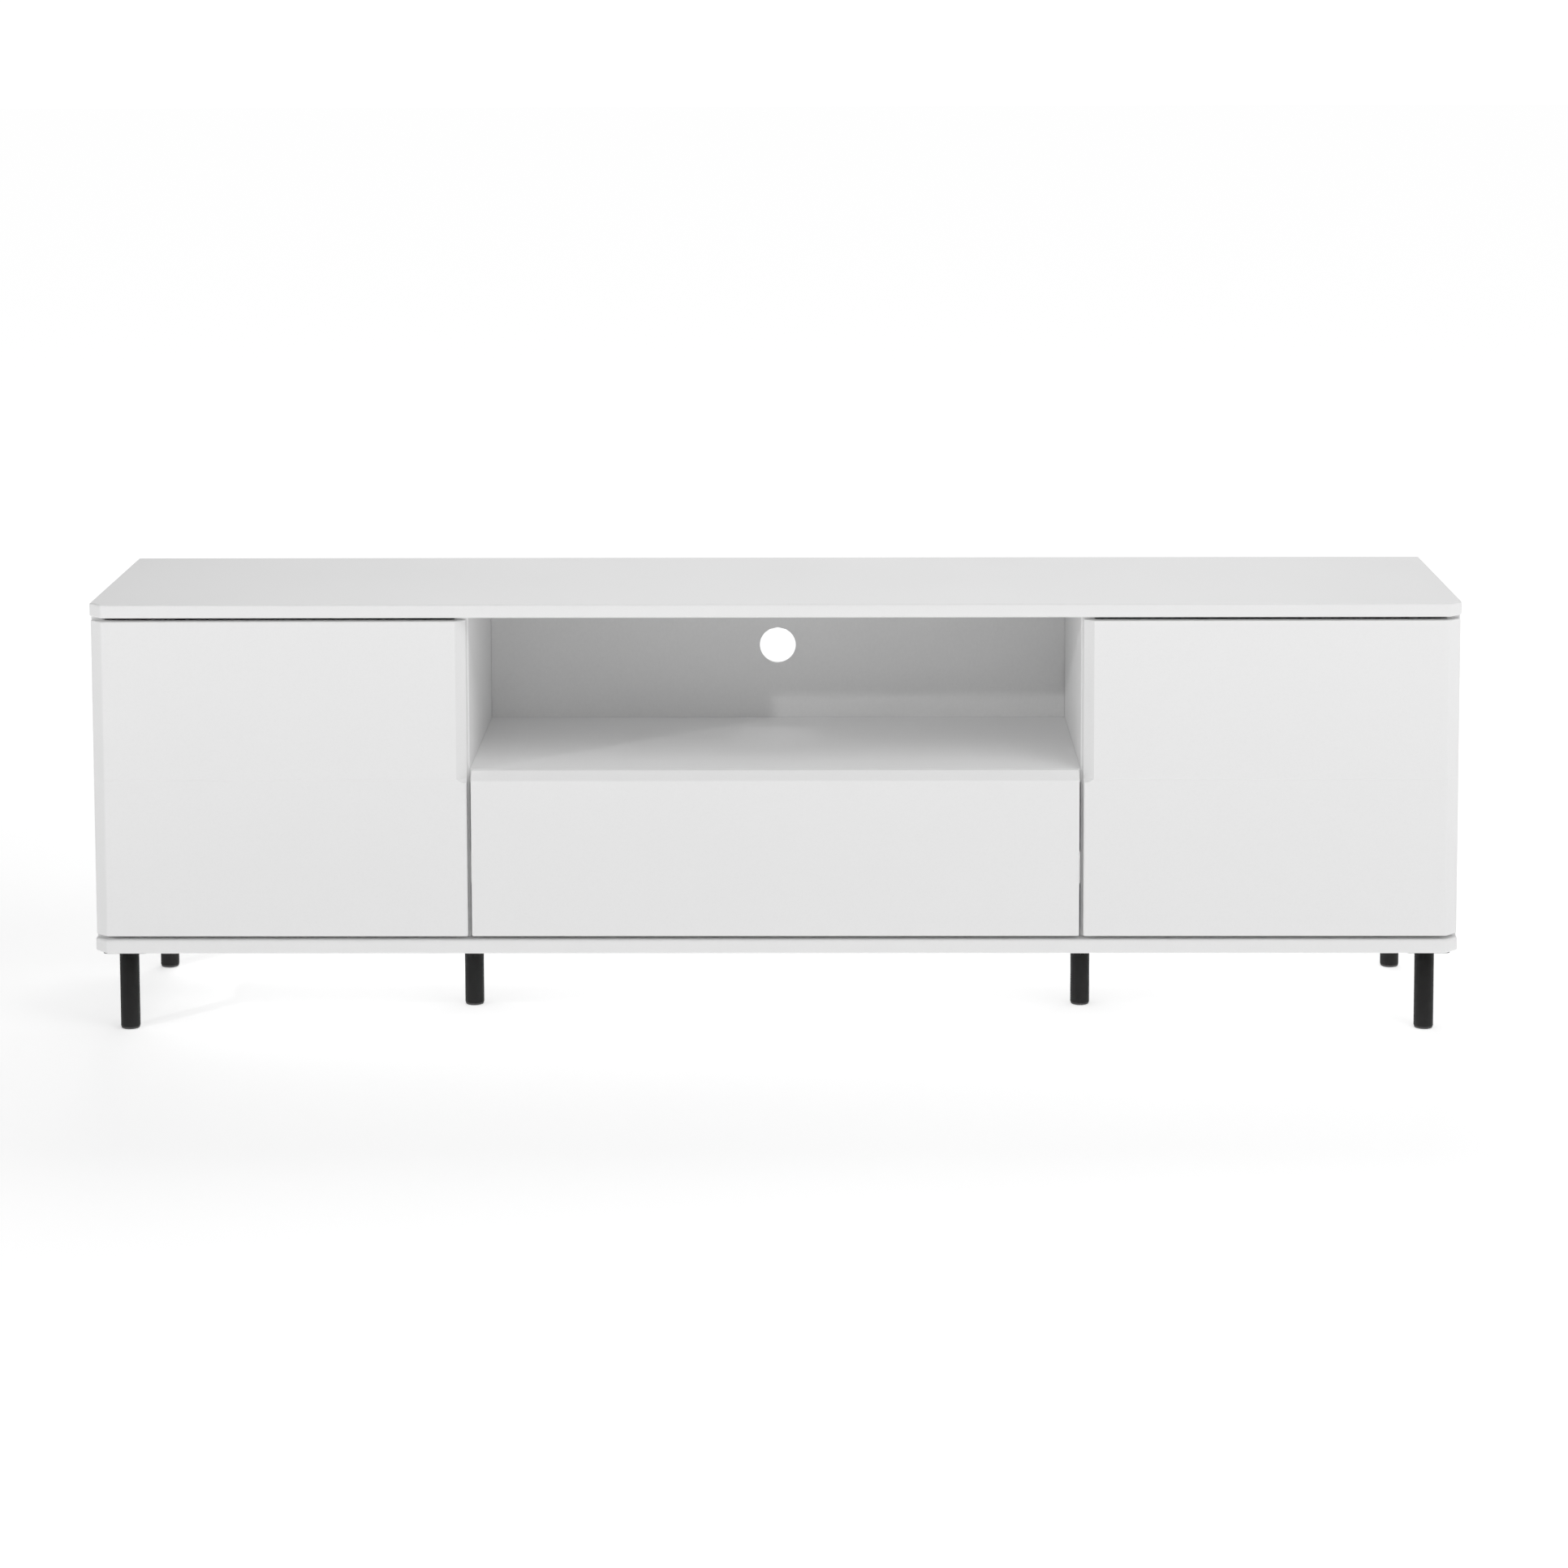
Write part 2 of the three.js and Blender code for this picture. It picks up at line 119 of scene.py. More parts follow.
def rounded_inset(corners, distance):
    """rounded() for the polygon moved inwards by a distance; its arcs shrink with it to a sharp corner."""
    moved = inset([Vector((x, y)) for x, y, _ in corners], distance)
    return rounded([
        (p.x, p.y, 0 if radius == 0 else max(radius - distance, SMALLEST_ARRIS))
        for p, (_, _, radius) in zip(moved, corners)
    ])


def inset(outline, distance):
    """The counter-clockwise outline moved inwards by a distance."""
    moved = []
    for i, here in enumerate(outline):
        before = (here - outline[i - 1]).normalized()
        after = (outline[(i + 1) % len(outline)] - here).normalized()
        left_before = Vector((-before.y, before.x))
        left_after = Vector((-after.y, after.x))
        moved.append(here + (left_before + left_after) * distance / (1 + left_before.dot(left_after)))
    return moved


# ---- meshes ----------------------------------------------------------------------------------------

# Places a point (a, b) of an outline at a level c, with the level along the named axis.
ALONG = {
    "X": lambda a, b, c: (c, a, b),
    "Y": lambda a, b, c: (b, c, a),
    "Z": lambda a, b, c: (a, b, c),
}


def loft(rings, closed=False):
    """Skin over rings of points with the same count. Open stacks get a flat cap at each end."""
    mesh = bmesh.new()
    made = [[mesh.verts.new(point) for point in ring] for ring in rings]
    pairs = list(zip(made, made[1:]))
    if closed:
        pairs.append((made[-1], made[0]))
    for low, high in pairs:
        for i in range(len(low)):
            j = (i + 1) % len(low)
            mesh.faces.new((low[i], low[j], high[j], high[i]))
    if not closed:
        mesh.faces.new(list(reversed(made[0])))
        mesh.faces.new(made[-1])
    return mesh


def softened_levels(low, high, soft):
    """(level, inset) pairs that round the edges of both ends of a body."""
    lower = [(low + soft * (1 - cos(a)), soft * (1 - sin(a))) for a in QUARTER_TURN]
    upper = [(low + high - level, depth) for level, depth in reversed(lower)]
    return lower, upper


def slab(outline, extent, axis="Z", soft=0.0):
    """Outline extruded over the extent along an axis, with the edges of both end faces rounded."""
    low, high = extent
    place = ALONG[axis]
    levels = [(low, 0.0), (high, 0.0)]
    if soft > 0:
        lower, upper = softened_levels(low, high, soft)
        levels = lower + upper
    return loft([[place(p.x, p.y, level) for p in inset(outline, depth)] for level, depth in levels])


def turned(profile, place=(0, 0, 0), axis="Z", flip=1, count=40):
    """Solid of revolution from (radius, level) points. The first and last lie on the axis."""
    mesh = bmesh.new()
    put = ALONG[axis]
    ends = [put(0, 0, flip * level) for _, level in (profile[0], profile[-1])]
    tips = [mesh.verts.new(Vector(end) + Vector(place)) for end in ends]
    rings = []
    for radius, level in profile[1:-1]:
        points = [put(p.x, p.y, flip * level) for p in circle(0, 0, radius, count)]
        rings.append([mesh.verts.new(Vector(p) + Vector(place)) for p in points])
    for low, high in zip(rings, rings[1:]):
        for i in range(count):
            j = (i + 1) % count
            mesh.faces.new((low[i], low[j], high[j], high[i]))
    for i in range(count):
        j = (i + 1) % count
        mesh.faces.new((tips[0], rings[0][j], rings[0][i]))
        mesh.faces.new((tips[1], rings[-1][i], rings[-1][j]))
    bmesh.ops.recalc_face_normals(mesh, faces=mesh.faces)
    return mesh


def combined(meshes):
    """Several bmeshes as one."""
    whole = bmesh.new()
    for part in meshes:
        scratch = bpy.data.meshes.new("scratch")
        part.to_mesh(scratch)
        part.free()
        whole.from_mesh(scratch)
        bpy.data.meshes.remove(scratch)
    return whole


def on_side(side, mesh):
    """A mesh drawn for the right-hand side, mirrored when it is wanted on the left."""
    if side == "left":
        bmesh.ops.transform(mesh, matrix=Matrix.Scale(-1, 4, (1, 0, 0)), verts=mesh.verts)
        bmesh.ops.reverse_faces(mesh, faces=mesh.faces)
    return mesh


ALONG_AXIS = 0.9995  # a face normal with a component above this counts as along that axis
SAME_SIZE = 0.01  # two components of a face normal closer than this count as equal
BENDS_AWAY = -0.05  # the directions to a point's neighbours, summed, go this far along its normal


def is_flat(face):
    """True for a face of the plain body: along an axis, or a bevel at 45 degrees."""
    sizes = sorted((abs(c) for c in face.normal), reverse=True)
    bevel = abs(sizes[0] - sizes[1]) < SAME_SIZE and sizes[2] < SAME_SIZE
    return sizes[0] > ALONG_AXIS or bevel


def is_arris(vert):
    """True in the middle of a rounded outer edge: no plain face beside it, and the skin bends away."""
    if any(is_flat(face) for face in vert.link_faces):
        return False
    around = Vector()
    for edge in vert.link_edges:
        around += (edge.other_vert(vert).co - vert.co).normalized()
    return around.dot(vert.normal) < BENDS_AWAY


def mark_arrises(mesh):
    """Stores 1 in the attribute "arris" at points in the middle of a rounded edge, and 0 elsewhere."""
    layer = mesh.verts.layers.float.new("arris")
    mesh.normal_update()
    for vert in mesh.verts:
        vert[layer] = 1.0 if is_arris(vert) else 0.0


SHARP_ANGLE = radians(32)


def piece(name, mesh, material, body, replaces=()):
    """Turns a bmesh in millimetres into an object that rides on a body."""
    bmesh.ops.recalc_face_normals(mesh, faces=mesh.faces)
    mark_arrises(mesh)
    bmesh.ops.scale(mesh, vec=(MM, MM, MM), verts=mesh.verts)
    data = bpy.data.meshes.new(name)
    mesh.to_mesh(data)
    mesh.free()
    data.materials.append(material)
    data.shade_smooth()
    data.set_sharp_from_angle(angle=SHARP_ANGLE)
    made = bpy.data.objects.new(name, data)
    scene.collection.objects.link(made)
    modifier = made.modifiers.new("flat faces stay flat", "WEIGHTED_NORMAL")
    modifier.keep_sharp = True
    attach(made, body)
    if replaces:
        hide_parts(*replaces)
    return made


def span(node):
    """A CAD node's extent along X, Y and Z in millimetres, as three (low, high) pairs."""
    low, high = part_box(node)
    return [(round(a / MM, 3), round(b / MM, 3)) for a, b in zip(low, high)]


# ---- materials -------------------------------------------------------------------------------------


class Nodes:
    """Small helper for building one node material."""

    def __init__(self, name):
        self.material = bpy.data.materials.new(name)
        self.material.use_nodes = True
        self.tree = self.material.node_tree
        self.shader = self.tree.nodes["Principled BSDF"]
        self.place = self.tree.nodes.new("ShaderNodeTexCoord").outputs["Object"]

    def link(self, source, target):
        self.tree.links.new(source, target)

    def noise(self, scale, detail=2.0, stretch=(1, 1, 1), rough=0.5):
        node = self.tree.nodes.new("ShaderNodeTexNoise")
        node.inputs["Scale"].default_value = scale
        node.inputs["Detail"].default_value = detail
        node.inputs["Roughness"].default_value = rough
        mapping = self.tree.nodes.new("ShaderNodeMapping")
        mapping.inputs["Scale"].default_value = stretch
        self.link(self.place, mapping.inputs["Vector"])
        self.link(mapping.outputs["Vector"], node.inputs["Vector"])
        return node.outputs["Fac"]

    def attribute(self, name):
        node = self.tree.nodes.new("ShaderNodeAttribute")
        node.attribute_name = name
        return node.outputs["Fac"]

    def ranged(self, value, low, high, start=0.0, end=1.0):
        node = self.tree.nodes.new("ShaderNodeMapRange")
        node.inputs["From Min"].default_value = start
        node.inputs["From Max"].default_value = end
        node.inputs["To Min"].default_value = low
        node.inputs["To Max"].default_value = high
        self.link(value, node.inputs["Value"])
        return node.outputs["Result"]

    def mixed(self, share, first, second):
        """Colour mix; first and second are grey values, colours or node outputs."""
        node = self.tree.nodes.new("ShaderNodeMix")
        node.data_type = "RGBA"
        self.link(share, node.inputs["Factor"])
        for socket, value in ((node.inputs["A"], first), (node.inputs["B"], second)):
            if isinstance(value, float):
                socket.default_value = (value, value, value, 1)
            elif isinstance(value, tuple):
                socket.default_value = (*value, 1)
            else:
                self.link(value, socket)
        return node.outputs["Result"]

    def bump(self, height, strength, distance, below=None):
        node = self.tree.nodes.new("ShaderNodeBump")
        node.inputs["Strength"].default_value = strength
        node.inputs["Distance"].default_value = distance
        self.link(height, node.inputs["Height"])
        if below is not None:
            self.link(below, node.inputs["Normal"])
        return node.outputs["Normal"]

    def set(self, **values):
        for name, value in values.items():
            socket = self.shader.inputs[name.replace("_", " ")]
            if isinstance(value, (int, float, tuple)):
                socket.default_value = value
            else:
                self.link(value, socket)


LACQUER_GREY = 0.82


def lacquer():
    """Satin white lacquer on fibreboard: faint mottling, orange peel, and a painted highlight on the
    arrises.
    """
    n = Nodes("white lacquer")
    mottled = n.mixed(n.noise(3.5, 3), LACQUER_GREY * 0.985, LACQUER_GREY * 1.012)
    speckled = n.mixed(n.ranged(n.noise(420, 2), 0, 0.35, 0.45, 0.8), mottled, LACQUER_GREY * 0.93)
    # painted highlight: the lacquer is lightened towards 0.93 where the arris attribute marks a rounded
    # edge
    painted_arris_highlight = n.mixed(n.ranged(n.attribute("arris"), 0, 0.12), speckled, 0.93)
    n.set(Base_Color=painted_arris_highlight)
    smears = n.noise(7, 4, stretch=(1, 1, 0.4))
    n.set(Roughness=n.ranged(smears, 0.44, 0.54, 0.3, 0.7))
    peel = n.bump(n.noise(700, 2), 0.10, 0.0004)
    n.set(Normal=n.bump(n.noise(28, 1), 0.05, 0.004, peel))
    n.set(Specular_IOR_Level=0.35)
    return n.material


def painted_board():
    """Thin painted fibreboard: duller than the lacquer, with a fine fibrous surface."""
    n = Nodes("painted back board")
    fibres = n.noise(260, 5, stretch=(1, 1, 0.7), rough=0.7)
    base = n.mixed(n.ranged(fibres, 0, 1, 0.3, 0.7), 0.715, 0.765)
    n.set(Base_Color=n.mixed(n.ranged(n.noise(2.5, 2), 0, 0.5), base, 0.70))
    n.set(Roughness=n.ranged(n.noise(60, 3), 0.62, 0.78))
    n.set(Normal=n.bump(fibres, 0.15, 0.0004))
    n.set(Specular_IOR_Level=0.25)
    return n.material


def drawer_foil():
    """Foil-wrapped drawer sides with a faint linear emboss."""
    n = Nodes("drawer foil")
    lines = n.noise(55, 4, stretch=(6, 0.4, 6), rough=0.6)
    n.set(Base_Color=n.mixed(n.ranged(lines, 0, 1, 0.3, 0.7), 0.72, 0.78))
    n.set(Roughness=n.ranged(n.noise(30, 3), 0.5, 0.62))
    n.set(Normal=n.bump(lines, 0.2, 0.0004))
    return n.material


def powder_coat():
    """Fine textured black powder coat, a little greyer on the rounded edges."""
    n = Nodes("black powder coat")
    grains = n.noise(1400, 2)
    dusty = n.mixed(n.ranged(n.noise(22, 4), 0, 1, 0.35, 0.75), 0.0016, 0.0032)
    n.set(Base_Color=n.mixed(n.ranged(n.attribute("arris"), 0, 0.5), dusty, 0.014))
    n.set(Roughness=n.ranged(n.noise(90, 3), 0.50, 0.66))
    n.set(Normal=n.bump(grains, 0.35, 0.0003))
    n.set(Specular_IOR_Level=0.05)
    return n.material


def black_plastic():
    n = Nodes("black plastic")
    n.set(Base_Color=n.mixed(n.ranged(n.noise(35, 4), 0, 1, 0.4, 0.7), 0.010, 0.022))
    n.set(Roughness=n.ranged(n.noise(240, 2), 0.55, 0.75))
    n.set(Normal=n.bump(n.noise(900, 2), 0.2, 0.0003))
    return n.material


def plated_steel():
    """Bright nickel plating with rolling lines and a few dull patches."""
    n = Nodes("plated steel")
    lines = n.noise(130, 3, stretch=(8, 0.6, 8))
    n.set(Base_Color=n.mixed(lines, 0.56, 0.68))
    n.set(Metallic=1.0)
    n.set(Roughness=n.ranged(n.noise(45, 4), 0.24, 0.42, 0.3, 0.7))
    n.set(Normal=n.bump(lines, 0.12, 0.0003))
    return n.material


def clear_rubber():
    n = Nodes("clear bumper")
    n.set(Base_Color=n.mixed(n.noise(300, 2), 0.55, 0.65))
    n.set(Roughness=n.ranged(n.noise(500, 2), 0.35, 0.5))
    n.set(Normal=n.bump(n.noise(700, 2), 0.1, 0.0003))
    return n.material


def white_cap():
    n = Nodes("white plastic cap")
    n.set(Base_Color=n.mixed(n.noise(60, 3), 0.80, 0.86))
    n.set(Roughness=n.ranged(n.noise(200, 2), 0.35, 0.5))
    n.set(Normal=n.bump(n.noise(500, 2), 0.12, 0.0003))
    return n.material


LACQUER = lacquer()
BOARD = painted_board()
FOIL = drawer_foil()
COAT = powder_coat()
PLASTIC = black_plastic()
STEEL = plated_steel()
RUBBER = clear_rubber()
CAP = white_cap()


# ---- carcass ---------------------------------------------------------------------------------------

PLATE_CUT = 17.5  # front corners of the top and base, cut at 45 degrees and softened
PLATE_ARRIS = 6
REAR_ARRIS = 3
PLATE_SOFT = 2.6
PANEL_ARRIS = 1.6
BOARD_GROOVE = 5  # depth of the grooves for the back board and for the drawer's bottom
BOARD_GROOVE_PLAY = 0.15  # to each side of the board in a groove
CORNER_SHARE = 1.05  # a board's corner rounding against the rounding of its edges


def plate(node):
    x, y, z = span(node)
    corners = [
        (x[0], y[0] + PLATE_CUT, PLATE_ARRIS),
        (x[0] + PLATE_CUT, y[0], PLATE_ARRIS),
        (x[1] - PLATE_CUT, y[0], PLATE_ARRIS),
        (x[1], y[0] + PLATE_CUT, PLATE_ARRIS),
        (x[1], y[1], REAR_ARRIS),
        (x[0], y[1], REAR_ARRIS),
    ]
    mesh = slab(rounded(corners), z, soft=PLATE_SOFT)
    piece(node + "_board", mesh, LACQUER, "carcass", [node])


def groove_corners(face, bottom, first, last):
    """Four sharp corners of a groove that runs from one place to another along a face."""
    return [(face, first, 0), (bottom, first, 0), (bottom, last, 0), (face, last, 0)]


def upright(node, grooved_low, grooved_high):
    """Side panel or divider, with a groove for the back board in its low-X or high-X face."""
    x, y, z = span(node)
    back = span("centre_back_board")[1]
    near = back[0] - BOARD_GROOVE_PLAY
    far = back[1] + BOARD_GROOVE_PLAY
    corners = [(x[0], y[0], PANEL_ARRIS), (x[1], y[0], PANEL_ARRIS)]
    if grooved_high:
        corners += groove_corners(x[1], x[1] - BOARD_GROOVE, near, far)
    corners += [(x[1], y[1], PANEL_ARRIS), (x[0], y[1], PANEL_ARRIS)]
    if grooved_low:
        corners += groove_corners(x[0], x[0] + BOARD_GROOVE, far, near)
    piece(node + "_board", slab(rounded(corners), z), LACQUER, "carcass", [node])


def plain_board(node, material, body, soft=1.0, axis="Z"):
    """Flat board with softened edges all round."""
    extents = span(node)
    order = {"X": (1, 2, 0), "Y": (2, 0, 1), "Z": (0, 1, 2)}[axis]
    a, b, c = (extents[i] for i in order)
    mesh = slab(rectangle(a, b, soft * CORNER_SHARE), c, axis, soft)
    piece(node + "_board", mesh, material, body, [node])


HOLE_SOFT = 0.8
HOLE_POINTS = 16  # along each side of the back board
HOLE_RADIUS = 25
TONGUE_GAP = 0.5  # the board's face stops this far from the dividers, beyond a thinner tongue
TONGUE_STEP = 1.0


def holed_back_board():
    """Back board of the niche with its round cable hole, as one skin of matching rings."""
    x, y, z = span("centre_back_board")
    niche_low = span("niche_floor_panel")[2][1]
    niche_high = span("top_panel")[2][0]
    centre = Vector((0, (niche_low + niche_high) / 2))
    corners = [Vector(c) for c in ((x[0], z[0]), (x[1], z[0]), (x[1], z[1]), (x[0], z[1]))]
    edge = []
    for here, there in zip(corners, corners[1:] + corners[:1]):
        edge += [here.lerp(there, k / HOLE_POINTS) for k in range(HOLE_POINTS)]
    around = [(point - centre).normalized() for point in edge]

    def hole(radius, level):
        return [(centre.x + d.x * radius, level, centre.y + d.y * radius) for d in around]

    narrower = (span("right_divider")[0][0] - TONGUE_GAP) / x[1]
    shoulder = y[0] + TONGUE_STEP
    rings = [[(p.x * narrower, level, p.y) for p in edge] for level in (y[0], shoulder)]
    rings += [[(p.x, level, p.y) for p in edge] for level in (shoulder, y[1])]
    rear = [(HOLE_RADIUS + HOLE_SOFT * (1 - sin(a)), y[1] - HOLE_SOFT * (1 - cos(a))) for a in QUARTER_TURN]
    front = [(r, y[0] + y[1] - level) for r, level in reversed(rear)]
    rings += [hole(r, level) for r, level in rear + front]
    mesh = loft(rings, closed=True)
    piece("centre_back_board_panel", mesh, BOARD, "carcass", ["centre_back_board"])


def add_carcass():
    plate("top_panel")
    plate("base_panel")
    upright("left_side_panel", False, True)
    upright("right_side_panel", True, False)
    upright("left_divider", True, True)
    upright("right_divider", True, True)
    plain_board("niche_floor_panel", LACQUER, "carcass", soft=0.8)
    holed_back_board()
    for side in SIDES:
        plain_board(side + "_back_board", BOARD, "carcass", soft=0.6, axis="Y")
        plain_board(side + "_cupboard_shelf", LACQUER, "carcass")


# ---- doors -----------------------------------------------------------------------------------------

PULL = 13  # width of the 45 degree finger bevel
PULL_CENTRE = 345.5  # level where the bevel starts to run out
PULL_RUN_OUT = 7
RUN_OUT_STEPS = 14
ARRIS_CUT = 1.7  # smallest bevel, where there is no finger pull
DOOR_CUT = 16.5  # the door's outer front corner, cut at 45 degrees and softened
DOOR_ARRIS = 0.9
DOOR_END = 1.3  # rounding of the upper and lower ends
DOOR_CORNER_ARRIS = 5
CROSS_GROOVE_HALF = 1.1  # half the height of the fine groove across a door
CROSS_GROOVE_DEPTH = 0.35


def pull_width(z):
    """Width of the finger bevel at a level: full above, an elliptical run-out, then a plain arris."""
    below = max(0.0, (PULL_CENTRE - z) / PULL_RUN_OUT)
    return ARRIS_CUT if below >= 1 else max(ARRIS_CUT, PULL * sqrt(1 - below * below))


def cross_groove_depth(z, middle):
    return CROSS_GROOVE_DEPTH * max(0.0, 1 - abs(z - middle) / CROSS_GROOVE_HALF)


def door_corners(x, y, z, middle):
    """Corners of the right-hand door's section seen from above, counter-clockwise from the finger pull."""
    cut = pull_width(z)
    front = y[0] + cross_groove_depth(z, middle)
    return [
        (x[0], front + cut, DOOR_ARRIS),
        (x[0] + cut, front, DOOR_ARRIS),
        (x[1] - DOOR_CUT, front, DOOR_CORNER_ARRIS),
        (x[1], y[0] + DOOR_CUT, 0),
        (x[1], y[1], 0),
        (x[0], y[1], DOOR_ARRIS),
    ]


def door_levels(z, middle):
    """(level, inset) pairs from the bottom of a door to its top."""
    bottom, top = softened_levels(*z, DOOR_END)
    quarter = [pi / 2 * k / RUN_OUT_STEPS for k in range(RUN_OUT_STEPS + 1)]
    run_out = [PULL_CENTRE - PULL_RUN_OUT * sin(a) for a in quarter]
    groove = [middle - CROSS_GROOVE_HALF, middle, middle + CROSS_GROOVE_HALF]
    inner = sorted({round(v, 4) for v in run_out + groove})
    return bottom + [(level, 0.0) for level in inner] + top


HINGE_LEVELS = ("upper", "lower")
POCKET_RADIUS = 17.6  # for a hinge cup, in the back of the door
POCKET_DEEP = 12
POCKET_STEPS = 48
CUTTER_REACH = 3  # how far a cutter stands out of the face it cuts


def door_leaf(side):
    x, y, z = span("right_door")
    middle = (z[0] + z[1]) / 2
    rings = []
    for level, depth in door_levels(z, middle):
        section = rounded_inset(door_corners(x, y, level, middle), depth)
        rings.append([(p.x, p.y, level) for p in section])
    return on_side(side, loft(rings))


def add_doors():
    for side in SIDES:
        body = side + "_door_body"
        node = side + "_door"
        leaf = piece(node + "_leaf", door_leaf(side), LACQUER, body, [node])
        cut_cup_pockets(leaf, side)


def cut_away(target, cutter_mesh):
    """Cuts a bmesh in millimetres out of an object's mesh, and removes the cutter."""
    bmesh.ops.recalc_face_normals(cutter_mesh, faces=cutter_mesh.faces)
    bmesh.ops.scale(cutter_mesh, vec=(MM, MM, MM), verts=cutter_mesh.verts)
    data = bpy.data.meshes.new("cutter")
    cutter_mesh.to_mesh(data)
    cutter_mesh.free()
    cutter = bpy.data.objects.new("cutter", data)
    scene.collection.objects.link(cutter)
    modifier = target.modifiers.new("cut", "BOOLEAN")
    modifier.object = cutter
    modifier.operation = "DIFFERENCE"
    modifier.solver = "EXACT"
    kept = [m for m in target.modifiers if m != modifier]
    shown = [m.show_viewport for m in kept]
    for other in kept:
        other.show_viewport = False
    bpy.context.view_layer.update()
    evaluated = target.evaluated_get(bpy.context.evaluated_depsgraph_get())
    fresh = bpy.data.meshes.new_from_object(evaluated)
    for other, value in zip(kept, shown):
        other.show_viewport = value
    target.modifiers.remove(modifier)
    old = target.data
    target.data = fresh
    bpy.data.meshes.remove(old)
    bpy.data.objects.remove(cutter)
    bpy.data.meshes.remove(data)


def cut_cup_pockets(leaf, side):
    back = span(side + "_door")[1][1]
    pockets = []
    for level in HINGE_LEVELS:
        cup_x, _, cup_z = (sum(pair) / 2 for pair in span(f"{side}_{level}_hinge_cup"))
        outline = circle(cup_z, cup_x, POCKET_RADIUS, POCKET_STEPS)
        pockets.append(slab(outline, (back - POCKET_DEEP, back + CUTTER_REACH), "Y"))
    cut_away(leaf, combined(pockets))


# ---- drawer ----------------------------------------------------------------------------------------

DRAWER_BEVEL = 12
DRAWER_ARRIS = 1.8
DRAWER_REAR_ARRIS = 1.0
DRAWER_END_SOFT = 0.95  # share of the arris by which the two ends are rounded
FOIL_ARRIS = 1.2
FOIL_LOWER_ARRIS = 0.8


def add_drawer_front():
    x, y, z = span("drawer_front")
    corners = [
        (y[0], z[0], DRAWER_ARRIS),
        (y[1], z[0], DRAWER_ARRIS),
        (y[1], z[1], DRAWER_REAR_ARRIS),
        (y[0] + DRAWER_BEVEL, z[1], DRAWER_ARRIS),
        (y[0], z[1] - DRAWER_BEVEL, DRAWER_ARRIS),
    ]
    mesh = slab(rounded(corners), x, "X", DRAWER_ARRIS * DRAWER_END_SOFT)
    piece("drawer_front_board", mesh, LACQUER, "drawer", ["drawer_front"])


def drawer_side():
    """Right-hand side of the drawer box, with a groove for the bottom in its inner face."""
    x, y, z = span("right_drawer_side")
    floor = span("drawer_bottom")[2]
    low = floor[0] - BOARD_GROOVE_PLAY
    high = floor[1] + BOARD_GROOVE_PLAY
    groove = x[0] + BOARD_GROOVE
    corners = [
        (z[0], x[0], FOIL_LOWER_ARRIS),
        (low, x[0], 0),
        (low, groove, 0),
        (high, groove, 0),
        (high, x[0], 0),
        (z[1], x[0], FOIL_ARRIS),
        (z[1], x[1], FOIL_ARRIS),
        (z[0], x[1], FOIL_LOWER_ARRIS),
    ]
    return slab(list(reversed(rounded(corners))), y, "Y")


def add_drawer_box():
    for side in SIDES:
        node = side + "_drawer_side"
        board = on_side(side, drawer_side())
        piece(node + "_board", board, FOIL, "drawer", [node])
    plain_board("drawer_back", FOIL, "drawer", soft=1.0, axis="X")
    plain_board("drawer_bottom", BOARD, "drawer", soft=0.4)


# ---- legs ------------------------------------------------------------------------------------------

LEG_ROWS = ("front", "middle", "rear")
PLATE_THICK = 2.5
LEG_PLATE_CORNER = 6
LEG_PLATE_SOFT = 0.6
LEG_SCREWS = (-22, 22)  # from the tube's axis, both ways
TUBE = 13
TUBE_WALL = 1.5
TUBE_SOFT = 0.5
TUBE_SOFT_HALFWAY = 0.3  # share of the rounding left halfway round the rim
TUBE_IN_PLATE = 0.5
WELD_SIZE = 2.4
WELD_STEPS = 6
WELD_POINTS = 96
WELD_WAVES = 30
WELD_RIPPLE = 0.18
WELD_BULGE = 0.35
WELD_CLEAR = 0.05  # the bead's lower edge stands this far off the tube
WELD_IN_TUBE = 0.4


def ring_of(radius, centre, level, count=48, ripple=0.0, waves=0):
    """Circle of points at a level, with an optional wave in its radius."""
    points = []
    for k in range(count):
        angle = 2 * pi * k / count
        r = radius + ripple * sin(waves * angle)
        points.append((centre[0] + r * cos(angle), centre[1] + r * sin(angle), level))
    return points


def leg_tube(centre, low, high):
    """Open tube with rounded lower rims."""
    inside = TUBE - TUBE_WALL
    halfway = TUBE_SOFT * TUBE_SOFT_HALFWAY
    rings = [
        ring_of(TUBE, centre, high),
        ring_of(TUBE, centre, low + TUBE_SOFT),
        ring_of(TUBE - halfway, centre, low + halfway),
        ring_of(TUBE - TUBE_SOFT, centre, low),
        ring_of(inside + TUBE_SOFT, centre, low),
        ring_of(inside, centre, low + TUBE_SOFT),
        ring_of(inside, centre, high),
    ]
    return loft(rings, closed=True)


def weld_bead(centre, level):
    """Rippled fillet of weld between tube and plate."""
    rings = []
    for k in range(WELD_STEPS + 1):
        angle = pi / 2 * k / WELD_STEPS
        out = WELD_SIZE * (1 - sin(angle)) + WELD_CLEAR
        down = WELD_SIZE * (1 - cos(angle))
        belly = sin(2 * angle)
        radius = TUBE + out + WELD_BULGE * belly
        rings.append(ring_of(radius, centre, level - down, WELD_POINTS, WELD_RIPPLE * belly, WELD_WAVES))
    rings.append(ring_of(TUBE - WELD_IN_TUBE, centre, level - WELD_SIZE, WELD_POINTS))
    rings.append(ring_of(TUBE - WELD_IN_TUBE, centre, level, WELD_POINTS))
    return loft(rings, closed=True)


HEAD_POINTS = 24
HEAD_STEPS = 5
HEAD_FULLNESS = 0.6  # below 1 the domed head is fuller than an ellipse
HEAD_RIM = 0.35  # height of the upright rim as a share of the head
RECESS_RIM = 0.30  # radius of the recess at its rim and near its bottom, as shares of the head
RECESS_FOOT = 0.22
RECESS_LEVEL = 0.45


